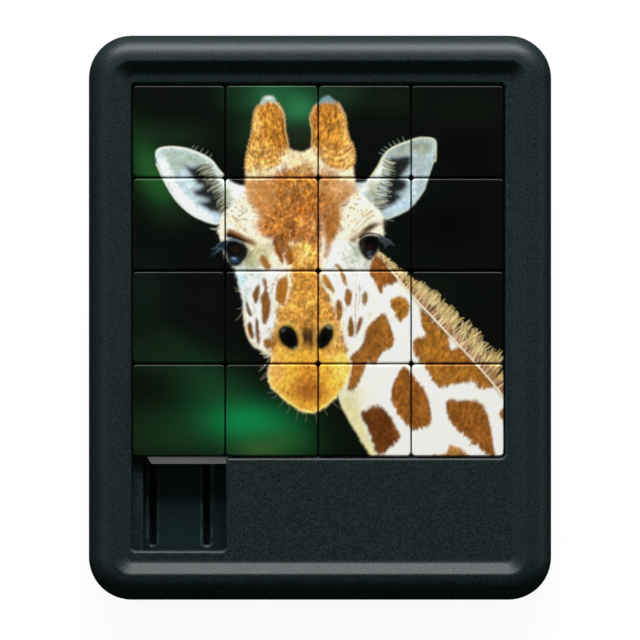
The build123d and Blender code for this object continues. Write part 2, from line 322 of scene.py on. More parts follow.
# %% Neck
CREAM = "f8f7f1"
NECK = [
    (51.6, 45.5), (53, 43.3), (55.4, 40.5), (58.6, 36.8), (62, 33), (66.9, 27.8), (71.8, 22.6), (76.8, 17),
    (80.6, 12), (84, -4), (70, -5), (54, -4), (51.4, 0), (48, 5.5), (45.8, 9.2), (44.4, 12.6), (43, 20), (44, 30),
]
neck = shape(NECK, 0.1, 0.2)
before = canvas.copy()
paint(neck, CREAM)
paint(shape([(44.5, 12.5), (48, 12), (51, 4), (53.5, 0), (51.4, -2), (46, 8)], 0.7), "dcd28a", 0.8)
paint(spot(47, 13, 7, 7), "cfc79a", 0.6)
PATCHES = [  # outline, colour
    ([(51.2, 43.5), (52.6, 43.8), (55, 41.6), (57.7, 38.3), (56.5, 37.3), (54.5, 36.8), (53.4, 34.9), (52.2, 37.5),
      (50.6, 40.2)], "86501e"),
    ([(56, 34.2), (58, 34.5), (59.2, 33.8), (59.6, 31.8), (58.6, 29.6), (57.6, 29.1), (56.4, 30.8), (55.4, 33)],
     "98621f"),
    ([(53.9, 30.9), (54.9, 30.1), (55.9, 27.2), (56.4, 24.9), (55.7, 23.5), (53.4, 21.9), (52.3, 19.6), (50.7, 20.2),
      (49.6, 17.6), (47.8, 14.6), (46.3, 14.4), (46.6, 16.5), (47.2, 20.2), (46.8, 21.6), (49.6, 24.4), (50.4, 27.6),
      (52.2, 29.7)], "8c5820"),
    ([(62, 32.2), (63.4, 31), (66.2, 28.4), (70, 24.6), (74, 20.6), (77.8, 16), (76.2, 14.5), (74.8, 14.7),
      (73.4, 15.9), (70.8, 15.8), (67.6, 15.2), (65.6, 15.1), (64, 17.4), (62, 20.4), (60.6, 22.2), (60.3, 24.4),
      (61, 25.6), (63, 26.2), (62, 28.8)], "95601f"),
    ([(58.2, 19.4), (59.4, 18.8), (61.2, 16.6), (63.4, 13.6), (64, 11), (64.4, 7.6), (63, 6.4), (60.6, 5.8),
      (58.6, 7.2), (56.8, 9.6), (55.6, 13.5), (56.6, 16.8)], "87511b"),
    ([(50.2, 10.2), (52.4, 11.2), (53.8, 10.6), (55.8, 8.4), (57.4, 5.4), (57.6, 3.6), (55.6, 2.2), (53.6, 0.2),
      (52.2, 1.6), (50.8, 5.8), (49.2, 9.4)], "653611"),
    ([(67.6, 12), (70.4, 12.3), (74, 12.2), (75.6, 11.2), (76.8, 8.2), (77.6, 3.6), (78.2, -1), (76.2, 0.6),
      (72.8, 3.2), (69.6, 5.8), (67.9, 8.6)], "844f1b"),
    ([(68.2, 2.6), (70.4, 1.8), (72.6, 0.2), (73, -2), (64, -2), (64.4, 0.2), (67.4, 0.8)], "a0713a"),
    ([(79, 9.8), (81, 10.5), (82, 5), (79.6, 7.2)], "8c5825"),
]
for outline, colour in PATCHES:
    patch = shape(outline, 0.07, 0.34)
    paint(patch, colour)
    fur(patch, 0.2, 0.14, 0.12)
fur(neck, 0.04, 0.02)
dabs([
    (51.3, 25.8, 3.4, 5.0, -20, "6e4018", 0.55), (53.2, 5.2, 4, 7, 15, "4a240c", 0.5),
    (60.5, 12, 4, 9, 0, "7a4418", 0.35),
])
paint(shape([(68, 25.4), (69, 26.4), (70, 24.8), (71.6, 23.4), (70, 23.6), (68.8, 23.2)], 0.12, 0.2), CREAM)
keep_inside(neck, before)
print(f"neck with {len(PATCHES)} patches")

# %% Mane
MANE_FOOT = [(52.4, 43.9), (55.2, 40.7), (58.3, 37), (61.8, 33), (64.3, 30.4), (66.8, 27.7), (71.6, 22.6), (76.6, 17),
             (80.2, 12.6)]
MANE_RIDGE = curve(MANE_FOOT, closed=False, steps=40)
MANE_HAIRS = 1300
TUFT = 7  # steps of the ridge, about 1 mm
MANE_LENGTHS = {0: 0.5, 40: 1.2, 80: 2.6, 120: 4.2, 200: 5.2, 320: 5.8}  # step of the ridge: mm
mane_length = np.interp(np.arange(len(MANE_RIDGE)), list(MANE_LENGTHS), list(MANE_LENGTHS.values()))
tuft_length = rng.uniform(0.68, 1.08, len(MANE_RIDGE) // TUFT + 1)
tuft_angle = rng.normal(50, 9, len(tuft_length))
for k in range(0, len(MANE_RIDGE), 3):
    paint(spot(*(MANE_RIDGE[k] + 0.16 * mane_length[k]), 0.4 * mane_length[k] + 0.3), "4c3424", 0.5)
ridge_spots = np.sort(rng.uniform(0, len(MANE_RIDGE) - 1.001, MANE_HAIRS))
for k, along in enumerate(rng.permutation(ridge_spots)):
    place, tuft = int(along), int(along) // TUFT
    root = MANE_RIDGE[place] + rng.uniform(-0.1, 0.4, 2)
    angle = math.radians(tuft_angle[tuft] + rng.normal(0, 6))
    length = mane_length[place] * tuft_length[tuft] * rng.uniform(0.5, 1.0)
    lean = rng.normal(0, 0.12)
    middle = root + 0.5 * length * np.array([math.cos(angle), math.sin(angle)])
    tip = root + length * np.array([math.cos(angle + lean), math.sin(angle + lean)])
    paint(line([root, middle, tip], 0.24, 0.05, 0.04), ("c89c76", "80583c", "ecccaa", "54382a", "ac8058")[k % 5], 0.9)
    paint(line([middle, tip], 0.16, 0.05, 0.04), ("ecd886", "8c7848", "fff4c0", "c0aa58")[k % 4], 0.75)
paint(line(MANE_FOOT[1:], 0.36, 0.3, 0.08), "f6ecd4", 0.9)
print(f"{MANE_HAIRS} hairs in the mane")

# %% [markdown]
# ### Ears
# Pale blue-white cups with a dark hollow, over which long pale hairs grow from the inner edge.

# %% Ears
LEFT_EAR = [
    (5, 65), (5.6, 66.3), (8.2, 66.8), (11.6, 66.4), (15.2, 65.1), (17.2, 63.8), (18.7, 61.8), (20.2, 60.2),
    (22, 58.8), (24.4, 58.2), (25.5, 57), (24, 53), (19.6, 50.8), (18.2, 49.9), (16, 50.5), (13, 51.9), (10, 54.6),
    (7.3, 58.7), (5.4, 63),
]
RIGHT_EAR = [
    (65.5, 66.4), (65.3, 68), (64, 68.7), (61.7, 68.7), (59, 67.9), (56.3, 66.8), (54.7, 65.7), (53.7, 64.3),
    (52.7, 62.3), (51, 60), (49.8, 59), (47.6, 58.8), (47.6, 55.6), (51.4, 52.6), (54.4, 51), (58.7, 52.7),
    (60.7, 54.4), (62.7, 57.2), (63.8, 60.4), (64.8, 63.6),
]
before = canvas.copy()
ears = np.zeros_like(X)
for outline, colour in ((LEFT_EAR, "b4c8d4"), (RIGHT_EAR, "a4b8c4")):
    where, mask = shape(outline, 0.1, 0.12)
    ears[where] = mask
    paint((where, mask), colour)
for points, colour, strength in [
    ([(6.4, 65.2), (9, 66), (13, 65.2), (16.4, 63.6), (16, 62.4), (12, 62.6), (9.6, 60.6), (8, 62.4)], "94a59c", 0.85),
    ([(5.8, 63.6), (7, 64.4), (8.6, 60.6), (10.8, 56.8), (14.6, 53.6), (18.4, 51.8), (15.4, 51.2), (10.6, 54.6),
      (7.6, 59.2)], "eef6fa", 0.9),
    ([(17.4, 63.2), (18.6, 61), (20.4, 59.6), (24, 58), (24.4, 56), (21.6, 54.6), (20.4, 56.6), (18.4, 60)], "e6ecea",
     0.85),
    ([(19.8, 58.6), (21.4, 57.2), (22, 55), (21, 54), (19.8, 56)], "a8ab94", 0.7),
    ([(14.4, 54.2), (17.4, 52.6), (20, 52), (18.4, 51.2), (15.6, 52.2)], "a9c6e6", 0.7),
    ([(55, 65.2), (58, 67), (62, 68), (64.4, 67.6), (63.6, 65), (60.4, 65.4), (57.6, 65)], "8b917f", 0.85),
    ([(60.8, 65), (63.4, 64.6), (62.6, 60.6), (61.2, 58), (60.4, 61.4)], "8f9a98", 0.6),
    ([(59.6, 62.6), (61, 60), (60.6, 56.6), (58.4, 54.2), (56, 52.6), (59.4, 55.8), (59.8, 59)], "c8d8e4", 0.8),
    ([(54.4, 52.6), (57.6, 53.4), (59.4, 55.2), (57.6, 55.4), (55.4, 53.8)], "b4cbe4", 0.8),
    ([(52.8, 62.6), (54.4, 64.6), (54.8, 62), (53, 58.6), (50.6, 57), (48, 57), (49.6, 59), (51.4, 60.6)], "dfe4e4",
     0.85),
    ([(51.6, 59.4), (53.2, 58.6), (52.4, 55.4), (51, 55.6), (50.6, 57.4)], "9a9470", 0.7),
]:
    paint(shape(points, 0.4, 0.1), colour, strength)
for outline in (LEFT_EAR, RIGHT_EAR):
    fur(shape(outline, 0.3), 0.07, 0.09, 0.16)
HOLLOWS = [
    [(11.5, 62.9), (13, 62.2), (15.8, 62.7), (16.8, 61.4), (17.6, 59.6), (18.8, 57), (19.9, 54.8), (20.2, 53.4),
     (19.2, 52.7), (17.4, 52.9), (15.6, 53.8), (14.3, 54.9), (15.8, 54.8), (16.8, 55.3), (15.4, 55.8), (14, 56.2),
     (13, 57.2), (14.4, 57.5), (15.3, 58.3), (14.2, 58.8), (13.5, 59.6), (12.7, 60.6), (12.2, 61.6)],
    [(55.2, 64.1), (57.3, 64.4), (59.7, 64.7), (59.8, 63.2), (58.5, 61.2), (57.5, 59.8), (58.7, 59.5), (58.9, 58.1),
     (57.7, 57.1), (56.6, 56.7), (57.8, 56.1), (56.8, 54.9), (55, 54), (53.6, 53), (52.7, 53.6), (53.6, 55),
     (54.8, 57), (55, 59.4), (55.4, 61.4), (55.1, 62.8)],
]
for outline in HOLLOWS:
    paint(shape(outline, 0.6, 0.1), "4a5256", 0.75)
    paint(shape(outline, 0.26, 0.12), "08090a", 0.95)
keep_inside((slice(None), ears), before)
print("ears")
EAR_HAIRS = 110
for fold, aim, spread in [  # where the hairs grow, from top to foot, and the way they point
    (curve([(16.6, 63), (17.8, 60.8), (19.2, 58), (20.6, 54.6), (20.8, 53)], closed=False), (190, 214), 7),
    (curve([(54.4, 64.4), (54, 61.8), (53.2, 58.4), (52.2, 55.2), (51.8, 53.8)], closed=False), (-34, 2), 9),
]:
    for k in range(EAR_HAIRS):
        share = k / EAR_HAIRS
        x, y = fold[int(share * (len(fold) - 1))] + rng.uniform(-0.35, 0.35, 2)
        reach = rng.uniform(1.3, 3.0)
        turn = math.radians(aim[0] + (aim[1] - aim[0]) * share + rng.normal(0, spread))
        bend = [(x, y), (x + 0.5 * reach * math.cos(turn), y + 0.5 * reach * math.sin(turn)),
                (x + reach * math.cos(turn + 0.12), y + reach * math.sin(turn + 0.12))]
        colour = ("aaa98c", "d9dac6", "1c1e1a", "c2c4b0", "2c2e28", "8a8c74")[k % 6]
        paint(line(bend, 0.18, 0.04, 0.04), colour, 0.85)
for tuft in [(12.6, 66.1, 50), (13.4, 66, 45), (14.6, 65.4, 55), (15.6, 64.9, 50), (16.6, 64.2, 60), (54.6, 65.6, 150),
             (55.2, 66.1, 145), (56, 66.6, 135), (56.8, 67, 130), (57.6, 67.4, 120), (54.1, 65, 155),
             (58.6, 67.8, 115)]:
    x, y, angle = tuft
    tip = (x + 1.2 * math.cos(math.radians(angle)), y + 1.2 * math.sin(math.radians(angle)))
    paint(line([(x, y), tip], 0.16, 0.04, 0.04), "8fa097", 0.8)
strokes([
    ([(5.2, 64.6), (5.7, 66.1), (8.2, 66.6), (11.6, 66.2), (15.1, 64.9), (17.1, 63.6), (18.5, 61.8), (20.2, 60)], 0.42,
     0.4, 0.08, "eef1ea", 0.9),
    ([(5.3, 63), (7.2, 58.9), (9.8, 54.9), (12.9, 52.2), (16, 50.8), (18.2, 50.2)], 0.36, 0.4, 0.1, "f2f6f2", 0.8),
    ([(65.2, 63.6), (65.3, 66.4), (65, 67.9), (64, 68.5), (61.7, 68.5), (59, 67.7), (56.3, 66.6), (54.8, 65.5),
      (53.8, 64.1), (52.8, 62.1), (51.1, 59.8)], 0.3, 0.42, 0.08, "dcdfc0", 0.9),
    ([(64.9, 64), (63.7, 60.4), (62.6, 57.3), (60.6, 54.6), (58.6, 52.9), (54.8, 51.2)], 0.28, 0.3, 0.08, "cdd6c8",
     0.8),
])
print("hair in the ears")

# %% [markdown]
# ### Head
# The head is painted from the skull outwards: a cream ground, warm brown fur on the forehead and the bridge of the
# nose, horns, then the small patches of the cheeks, and last the ochre muzzle.

# %% Head and horns
HEAD = [
    (24.4, 61.5), (24.3, 63.8), (25.2, 66.8), (25.8, 70), (26.3, 73.4), (27, 75.3), (28.2, 76.6), (30, 77),
    (31.6, 75.9), (32.7, 73.6), (33, 70), (33.6, 66.8), (34.8, 66), (36, 65.6), (37.6, 66), (38.7, 67), (38.8, 69.6),
    (38.4, 72.4), (38.8, 74.6), (40, 76.4), (42, 77), (44, 76.2), (45.4, 74.4), (45.9, 72), (46.3, 69.4), (47.4, 67.4),
    (47.9, 65.4), (47.6, 62), (48, 59.4), (48.8, 57.4), (50.6, 55.6), (52.6, 53.6), (53.8, 52), (54, 49.8),
    (54.1, 47.4), (52.8, 46), (52.4, 43.6), (51.6, 42), (51, 39), (52.4, 36), (52.2, 32.4), (50.6, 28.4), (48, 24.6),
    (46.4, 22.4), (47.2, 19.4), (46, 15.8), (44, 13), (41.4, 10.6), (38.8, 9.4), (36, 10), (33, 12), (30.2, 14.6),
    (29.2, 16.4), (29.2, 18.8), (29.8, 21.4), (28, 22.6), (25.8, 24.2), (24.4, 27), (23.9, 30.4), (23.8, 33.6),
    (23, 36.4), (22.3, 39.4), (21.4, 41.4), (20, 42.6), (19.6, 45), (18.8, 46.6), (18.4, 49), (18.8, 51), (20, 52.8),
    (22.2, 55), (23.8, 57), (24.3, 59.4),
]
head = shape(HEAD, 0.08, 0.3)
before = canvas.copy()
paint(head, "f2e8d4")
HORN_LEFT = [(24.4, 61.4), (24.6, 65), (25.8, 70), (26.4, 74), (28.2, 76.4), (30.6, 76.5), (32.5, 73.8), (33.1, 70),
             (33.8, 66.4), (33.6, 64.4), (31, 62.6), (28, 61.2)]
HORN_RIGHT = [(38.7, 66.4), (38.6, 69.6), (38.4, 73), (39.6, 75.7), (41.6, 76.6), (44, 76.1), (45.9, 73), (46.4, 69.4),
              (47.7, 66.6), (47.9, 63.2), (46.6, 62), (43.6, 62), (41, 63.4)]
for horn in (HORN_LEFT, HORN_RIGHT):
    paint(shape(horn, 0.16, 0.25), "a86e28")
washes([
    ([(24.6, 62), (25.2, 66.6), (27, 68.4), (29.6, 66.4), (31, 63.8), (28.4, 61.6)], 0.8, "c8934a", 0.8),
    ([(33, 66.2), (32.2, 70), (31.8, 74), (32.6, 73.4), (33, 70), (33.8, 67)], 0.3, "7c4a18", 0.6),
    ([(30, 70), (31.6, 68.6), (32.8, 66.6), (31, 66.6), (29.4, 68)], 0.5, "84511c", 0.6),
    ([(26.3, 75.2), (27.2, 72.4), (27.6, 70), (26.6, 69.6), (26, 72)], 0.4, "d8ab62", 0.8),
    ([(38.8, 66), (38.7, 70), (38.5, 73.4), (39.6, 75.4), (39.8, 72), (39.8, 67)], 0.3, "8a5520", 0.65),
    ([(44.4, 75.4), (45.8, 72), (46.3, 69), (47.7, 66.4), (46.6, 65.2), (45.4, 68), (45, 72)], 0.4, "d09c52", 0.75),
    ([(41.4, 75.4), (43.2, 74.8), (43.8, 72), (43, 70), (41.6, 71.6)], 0.6, "9c631f", 0.6),
    ([(41, 67), (44, 66.6), (47.4, 65.2), (47.6, 62.4), (44, 61.6), (41.6, 63)], 0.9, "c48c42", 0.7),
    ([(45.2, 66), (47.6, 65.4), (47.6, 62), (46, 61.6)], 0.5, "d9a566", 0.6),
])
HORN_CREASES = 9
for x, y, lean in ((28.2, 68.4, 1), (43.8, 68, -1)):
    for k in range(HORN_CREASES):
        drop = 1.6 + 0.62 * k
        crease = [(x - 3.4 * lean, y - drop + 1.8), (x - 2.2 * lean, y - drop + 0.3), (x, y - drop - 0.3),
                  (x + 2.6 * lean, y - drop + 0.6)]
        paint(line(crease, 0.26, 0.1, 0.1), ("7c4618", "e8c07c")[k % 2], 0.45)
print("skull and horns")

# %% Warm fur of the forehead and nose
washes([
    ([(33.6, 66), (36, 65.6), (39, 66.4), (41, 63.4), (39, 61.8), (34.6, 62.2), (32, 63.8)], 0.8, 0, "ead0a2", 0.9),
    ([(24.6, 61.6), (29, 62), (32, 61), (31.4, 59.2), (26, 59.4), (24.4, 60.2)], 0.8, 0, "e8cc9c", 0.85),
    ([(23.9, 59.4), (28, 60), (32.4, 59.4), (33, 54), (30.4, 49.6), (27.4, 49), (27, 52), (25, 55.2)], 0.5, 0.5,
     "b87c40", 1),
    ([(40, 61), (44, 60.8), (47.6, 58.8), (47.8, 56.6), (45.4, 54), (44.8, 50.4), (43.6, 47.6), (41, 48)], 0.6, 0.5,
     "bc844a", 1),
])
FOREHEAD = [(30.6, 60.6), (34, 62.4), (37, 63), (39.4, 61.4), (41, 57), (41, 50), (40.6, 45.6), (38.8, 42.6),
            (36.8, 44.6), (34.6, 46), (33, 44.2), (32.6, 41.6), (31.2, 43.2), (30.6, 46.4), (28, 47.2), (27, 49.4),
            (28.8, 51.6), (31, 54), (31, 57)]
washes([
    (FOREHEAD, 0.5, 0.5, "a2652a", 1),
    ([(41, 57), (43, 55.4), (44.6, 52), (44.2, 49), (43.6, 46.4), (42.8, 43.4), (41.2, 43), (41.6, 46), (41.2, 50)],
     0.3, 0.35, "a1662c", 1),
])
dabs([
    (44.6, 57.8, 3.6, 2.6, "dcb084", 0.55), (46.6, 60, 2.6, 2.2, "ecd0a4", 0.7), (26, 57.4, 2.4, 3, "cfa06a", 0.6),
    (35.8, 58.4, 6, 6, 0, "9a6626", 0.7), (33.6, 57, 2, 2.4, 0, "6c5540", 0.5), (36.8, 61.8, 5, 1.8, 20, "9b7a3c", 0.7),
    (36.6, 61.2, 2.4, 1.0, 0, "7f7660", 0.5), (37, 53, 6, 6, 0, "a05a1e", 0.65), (35.5, 54, 3, 5, 0, "93501a", 0.5),
    (34.8, 48.6, 4.4, 4, 0, "84481f", 0.75), (32.2, 46.2, 1.8, 4.6, 0, "6a3816", 0.65),
    (38, 47.4, 3, 4, 0, "8b4d24", 0.6), (29.4, 48.4, 4, 2.4, -10, "8a5524", 0.7),
    (36.4, 50.2, 3, 1.6, 0, "c08a44", 0.5), (38.9, 49.8, 1.2, 3, 0, "d09a5c", 0.5), (29.4, 56, 3, 4, 0, "ab7842", 0.5),
    (40.4, 56, 1.6, 8, 0, "a66c2a", 0.5), (31.4, 52, 3, 3, 0, "9c5f2a", 0.6), (43, 50.6, 2.4, 4, 0, "96602a", 0.5),
])
NOSE_BRIDGE = [(33.6, 45), (36, 46), (39.4, 45), (40.4, 42), (40.8, 37), (43, 33), (44.6, 29.6), (45.4, 26),
               (46.4, 22.6), (42, 21), (38, 21.4), (34, 21), (30, 22), (29.6, 25.4), (30.8, 29), (30.8, 31.6),
               (33, 33.4), (34.2, 38), (33.8, 42)]
paint(shape(NOSE_BRIDGE, 0.4, 0.35), "bc8438")
dabs([
    (36.9, 43.6, 3, 5, 0, "dfb668", 0.75), (39.6, 43, 1.6, 5, 0, "b07630", 0.7), (37.4, 37.6, 5, 6, 0, "a86e28", 0.7),
    (35, 38, 2.4, 6, 0, "b98438", 0.5), (38.8, 33.4, 5, 3, 0, "d6a24c", 0.6), (33, 30.8, 4, 2.6, -20, "b88440", 0.7),
    (42.4, 30.8, 2.4, 3, 15, "94602a", 0.6), (37.6, 30.4, 4, 3, 0, "ab7430", 0.6), (36.6, 34.6, 3, 2, 0, "9a6426", 0.5),
    (30.4, 25.6, 1.8, 4.6, 0, "8c6030", 0.6), (45, 25, 1.8, 5, 0, "a2733a", 0.6), (37.8, 22.6, 5, 2, 0, "c98f2e", 0.6),
])
for points in ([(31, 31.4), (32.6, 31.8), (34.4, 31)], [(30.6, 30.4), (32.4, 30.9), (34.8, 30)],
               [(41, 30.6), (42.6, 31.2), (44, 30.2)], [(34.6, 33.4), (36, 32.4), (38, 32)],
               [(35.4, 29.8), (37.6, 29.2), (40, 29.8)], [(29.8, 27.6), (30.4, 25), (30.4, 22.8)],
               [(45.2, 27.2), (45.4, 25), (45, 23)]):
    paint(line(points, 0.3, 0.1, 0.1), "7a4c20", 0.6)
print("forehead and nose")

# %% Cheeks
washes([
    ([(23.2, 41), (28.4, 41.6), (31.6, 41), (31.4, 38), (30.6, 33), (30.4, 28.6), (27.6, 23.4), (25, 25), (24, 31)],
     0.5, "eceff0", 0.9),
    ([(24.6, 46), (29.6, 46), (30.6, 43), (31.6, 41), (28, 40.4), (23.4, 40.6), (24.4, 43)], 0.7, "bdb68e", 0.85),
    ([(43.6, 46.4), (47.4, 46.4), (49.6, 43.4), (51, 40.6), (51.8, 36), (50.6, 30), (48.4, 25), (46, 24.4), (46.2, 30),
      (44.8, 33.4), (42, 38.4), (42, 42.4)], 0.5, "eef1f2", 0.92),
])
dabs([
    (24.6, 42.8, 3.6, 4, 30, "7d8660", 0.8), (23.4, 38.4, 3, 5.4, 20, "b9d8e8", 0.95),
    (26.8, 38.2, 2, 4, 0, "d4e2ea", 0.7), (24.6, 34, 1.4, 4, 0, "a9bcc6", 0.7),
    (48.4, 43.8, 3.6, 5, -20, "87927e", 0.75), (47, 41, 2.4, 3.6, 0, "b6baae", 0.6),
    (50.6, 41.4, 2, 3, 0, "8f9c90", 0.65), (45.2, 43.8, 2, 4, 0, "cdd4cc", 0.6), (50.4, 37, 1.6, 5, 0, "cfe0ea", 0.6),
])
CHEEK_PATCHES = [  # outline, colour, ruffle
    ([(30.6, 47.6), (31.6, 46), (32.4, 43), (32.4, 41.4), (31.2, 42.8), (30.2, 45.4)], "7a4416", 0.3),
    ([(32.9, 46.6), (34.2, 44.6), (34.9, 42), (34, 41.2), (33, 42), (32.8, 44)], "85501c", 0.3),
    ([(27.6, 43.2), (28.6, 43.2), (29.4, 41.8), (29.8, 40.6), (28.6, 40.4), (27.8, 41.6)], "99642a", 0.2),
    ([(26.6, 36.6), (27.4, 37), (27.4, 35), (26.9, 33.2), (26.2, 33.4), (25.9, 35)], "7b4f20", 0.2),
    ([(28, 38.4), (28.9, 38.2), (29.2, 35.6), (29.8, 33), (29.6, 30.6), (28.6, 28.4), (27.9, 29.4), (27.8, 32),
      (27.6, 34.4), (28.4, 36)], "82521f", 0.25),
    ([(31.4, 38), (33.2, 38.8), (33.6, 37), (33.2, 34), (32.4, 32.6), (31.2, 33.2), (30.8, 35.4)], "9c6522", 0.25),
    ([(28.2, 25.2), (29.6, 25.4), (30.2, 24), (29.6, 22.8), (28.6, 23.4)], "8c5f28", 0.2),
    ([(24.8, 28.8), (25.6, 29), (26, 27.4), (26.2, 25.4), (25.4, 25.6), (24.8, 27)], "6a4014", 0.15),
    ([(26.5, 29.8), (27.1, 29.4), (27.4, 27), (27.5, 24.8), (26.9, 24.4), (26.5, 26.8)], "74481a", 0.15),
    ([(24.5, 33.6), (25.3, 32), (25.8, 30.4), (25.2, 30.2), (24.6, 31.6)], "5c4628", 0.12),
    ([(40.8, 39), (41.8, 39), (43.2, 36.8), (43.6, 35.4), (42.4, 36), (41.2, 37.2)], "a0702f", 0.2),
    ([(40.2, 36.8), (41.4, 36), (42.6, 34.4), (42.2, 33.4), (40.8, 34)], "a87434", 0.2),
    ([(43.4, 41.4), (44.6, 41.2), (46, 38.6), (46, 37), (45.2, 37.6), (44.6, 39.4)], "9c7038", 0.2),
    ([(46, 36.2), (46.8, 36), (47.4, 34.6), (46.8, 32.6), (46, 32.6), (45.6, 34)], "8c5c26", 0.2),
    ([(44, 33.8), (44.9, 33.4), (45.4, 31.4), (44.8, 29.4), (44, 29.4), (43.8, 31.4)], "80511e", 0.2),
    ([(46.8, 30.2), (47.4, 29.6), (47.8, 27.6), (47.6, 26), (46.6, 25.8), (46.4, 28)], "7e4f1c", 0.15),
    ([(49, 30.2), (49.6, 29.6), (49.2, 27.8), (48.3, 26.2), (48.2, 28), (48.6, 29.4)], "784a1c", 0.15),
    ([(50, 35.8), (50.6, 35), (50.6, 33.4), (49.9, 32.6), (49.4, 33.8)], "82602c", 0.15),
    ([(44.4, 26.4), (45.2, 25.8), (45, 24.4), (44.4, 24.2)], "b0864a", 0.1),
    ([(45.7, 23.2), (46.4, 22.8), (46, 22.2), (45.5, 22.4)], "6e4a24", 0.1),
]
for outline, colour, ruffle in CHEEK_PATCHES:
    paint(shape(outline, 0.08, ruffle), colour)
strokes([
    ([(48.2, 35), (48, 31.6), (48.1, 28), (47.9, 25.6)], 0.28, 0.18, 0.08, "8f7348", 0.8),
    ([(48.9, 37.2), (48.8, 33.8), (48.5, 31)], 0.2, 0.12, 0.08, "9a7c4c", 0.7),
    ([(31.6, 39.6), (30.2, 36.6), (30, 33.4)], 0.35, 0.2, 0.12, "b9955c", 0.7),
    ([(26, 32.8), (26.6, 30.8), (27, 28.6)], 0.25, 0.15, 0.1, "4f4630", 0.5),
    ([(24.2, 31.6), (24.5, 28), (25.4, 25.6), (27.2, 23.6)], 0.35, 0.25, 0.12, "d9b26a", 0.8),
])
dabs([
    (48.4, 23.8, 3.6, 2, 45, "f2ecdc", 0.6), (43.4, 25.6, 1.6, 4, "dcb878", 0.5),
])
print(f"{len(CHEEK_PATCHES)} small patches on the cheeks")

# %% Coat
fur(head, 0.13, 0.1, 0.1)
fur(shape(FOREHEAD, 0.6), 0.16, 0.2, 0.14)
fur(shape(NOSE_BRIDGE, 0.5), 0.1, 0.16, 0.18)
for horn in (HORN_LEFT, HORN_RIGHT):
    fur(shape(horn, 0.3), 0.3, 0.1, 0.16)
FLECKS = 260
for k, (x, y) in enumerate(rng.normal((36, 53), (5, 5.6), (FLECKS, 2))):
    paint(spot(x, y, 0.3, rng.uniform(0.5, 1.1), rng.uniform(-40, 40)), ("7a4818", "e6c090", "8a5424", "c89458")[k % 4],
          0.4)
FRECKLES = 34
for cheek in ((24, 53), (47.6, 53.8)):
    for x, y in rng.normal(cheek, (1.5, 1.9), (FRECKLES, 2)):
        paint(spot(x, y, 0.4, 0.3, 30), "5a4426", 0.75)
keep_inside(head, before)
HORN_TIPS = [
    ([(27.7, 76), (28.2, 77.2), (29.2, 77.7), (30.4, 77.4), (31, 76.4), (30.2, 76.1), (29.2, 76.5), (28.4, 75.8)],
     0.12, 0.1, "a9c0bc", 0.95),
    ([(39.9, 76), (41, 77.2), (42.2, 77.6), (43.2, 77), (43.6, 75.9), (42, 76.2), (40.8, 75.9)],
     0.12, 0.1, "7896a0", 0.95),
]
washes(HORN_TIPS)
paint(spot(29.4, 77.2, 1.6, 0.7), "e6f2f0", 0.8)
HORN_SIDES = [  # a stretch of a horn's edge and the way its hairs point at both ends
    ([(24.4, 62), (24.8, 66), (25.8, 70), (26.2, 73.6), (27.2, 75.6)], 160, 115),
    ([(31.4, 76), (32.6, 73.6), (33, 70), (33.6, 66.8)], 45, 60),
    ([(38.6, 67), (38.7, 70), (38.3, 73), (39.4, 75.6)], 125, 130),
    ([(44.2, 76), (45.8, 73), (46.3, 69.6), (47.6, 66.4), (47.8, 63)], 60, 20),
]
for side, first, last in HORN_SIDES:
    edge = curve(side, closed=False, steps=14)
    for k, root in enumerate(edge):
        turn = math.radians(first + (last - first) * k / len(edge) + rng.normal(0, 16))
        tip = root + rng.uniform(0.15, 0.55) * np.array([math.cos(turn), math.sin(turn)])
        paint(line([root - 0.5 * (tip - root), tip], 0.2, 0.04, 0.04), ("d0a05c", "ecc888", "a8763a")[k % 3], 0.85)
print("coat, flecks and horn tips")

# %% [markdown]
# ### Eyes, nostrils and muzzle
# The darkest and sharpest parts of the picture, so they carry its likeness: heavy lids, long lashes, a blue glint in
# the left eye, and a muzzle that turns from ochre to brown at its tip.

# %% Eyes
LASHES = 16  # beside each eye
washes([
    ([(20.4, 49), (22, 48.7), (24.2, 47.5), (26.4, 46.4), (26.6, 45.2), (24, 46), (22, 47), (20.4, 47.6)], 0.24, 0.2,
     "7c4810", 1),
    ([(20.4, 48.2), (22.4, 47.6), (24.4, 46.6), (24.6, 46), (22.6, 46.6), (20.5, 47.2)], 0.14, 0.1, "140c06", 1),
])
for points, width, colour in [
    ([(21.6, 51.9), (22.6, 50.4), (24, 48.8), (25.2, 47.9)], 0.4, "9a6a24"),
    ([(22.4, 51.4), (23.4, 50), (24.6, 48.8)], 0.3, "7d5520"),
    ([(21, 50.8), (22, 49.8), (23, 49)], 0.2, "c2a878"),
    ([(24.2, 45.2), (25.4, 44.2), (26.4, 43.2)], 0.26, "7d8a70"),
]:
    paint(line(points, width, 0.1, 0.14), colour, 0.7)
washes([
    ([(19, 45.9), (20.4, 46.6), (22, 46.7), (23.8, 46.1), (24.8, 45), (24.8, 43.6), (24, 42.2), (22.7, 41),
      (21.2, 41.2), (20.4, 42.6), (19.9, 44.4)], 0.14, "10161a", 1),
    ([(20.2, 45.8), (21.8, 46.2), (23.2, 45.6), (23.8, 44.4), (22.9, 43.4), (21.4, 43.2), (20.4, 44.4)], 0.15, "040506",
     1),
])
dabs([
    (22.2, 44.6, 2, 1.4, "2c2018", 0.6), (22, 42.4, 1.7, 1, -10, "34587a", 0.85),
    (21.9, 42.7, 0.9, 0.35, -10, "8fb0c8", 0.8),
])
strokes([
    ([(18.3, 45.3), (19.4, 46.1), (20.8, 46.6), (22.4, 46.6), (23.6, 46)], 0.5, 0.3, 0.1, "4a6478", 0.85),
    ([(19.2, 46.6), (20.4, 47.1), (21.4, 47.1)], 0.16, 0.1, 0.08, "9fb4c0", 0.7),
])
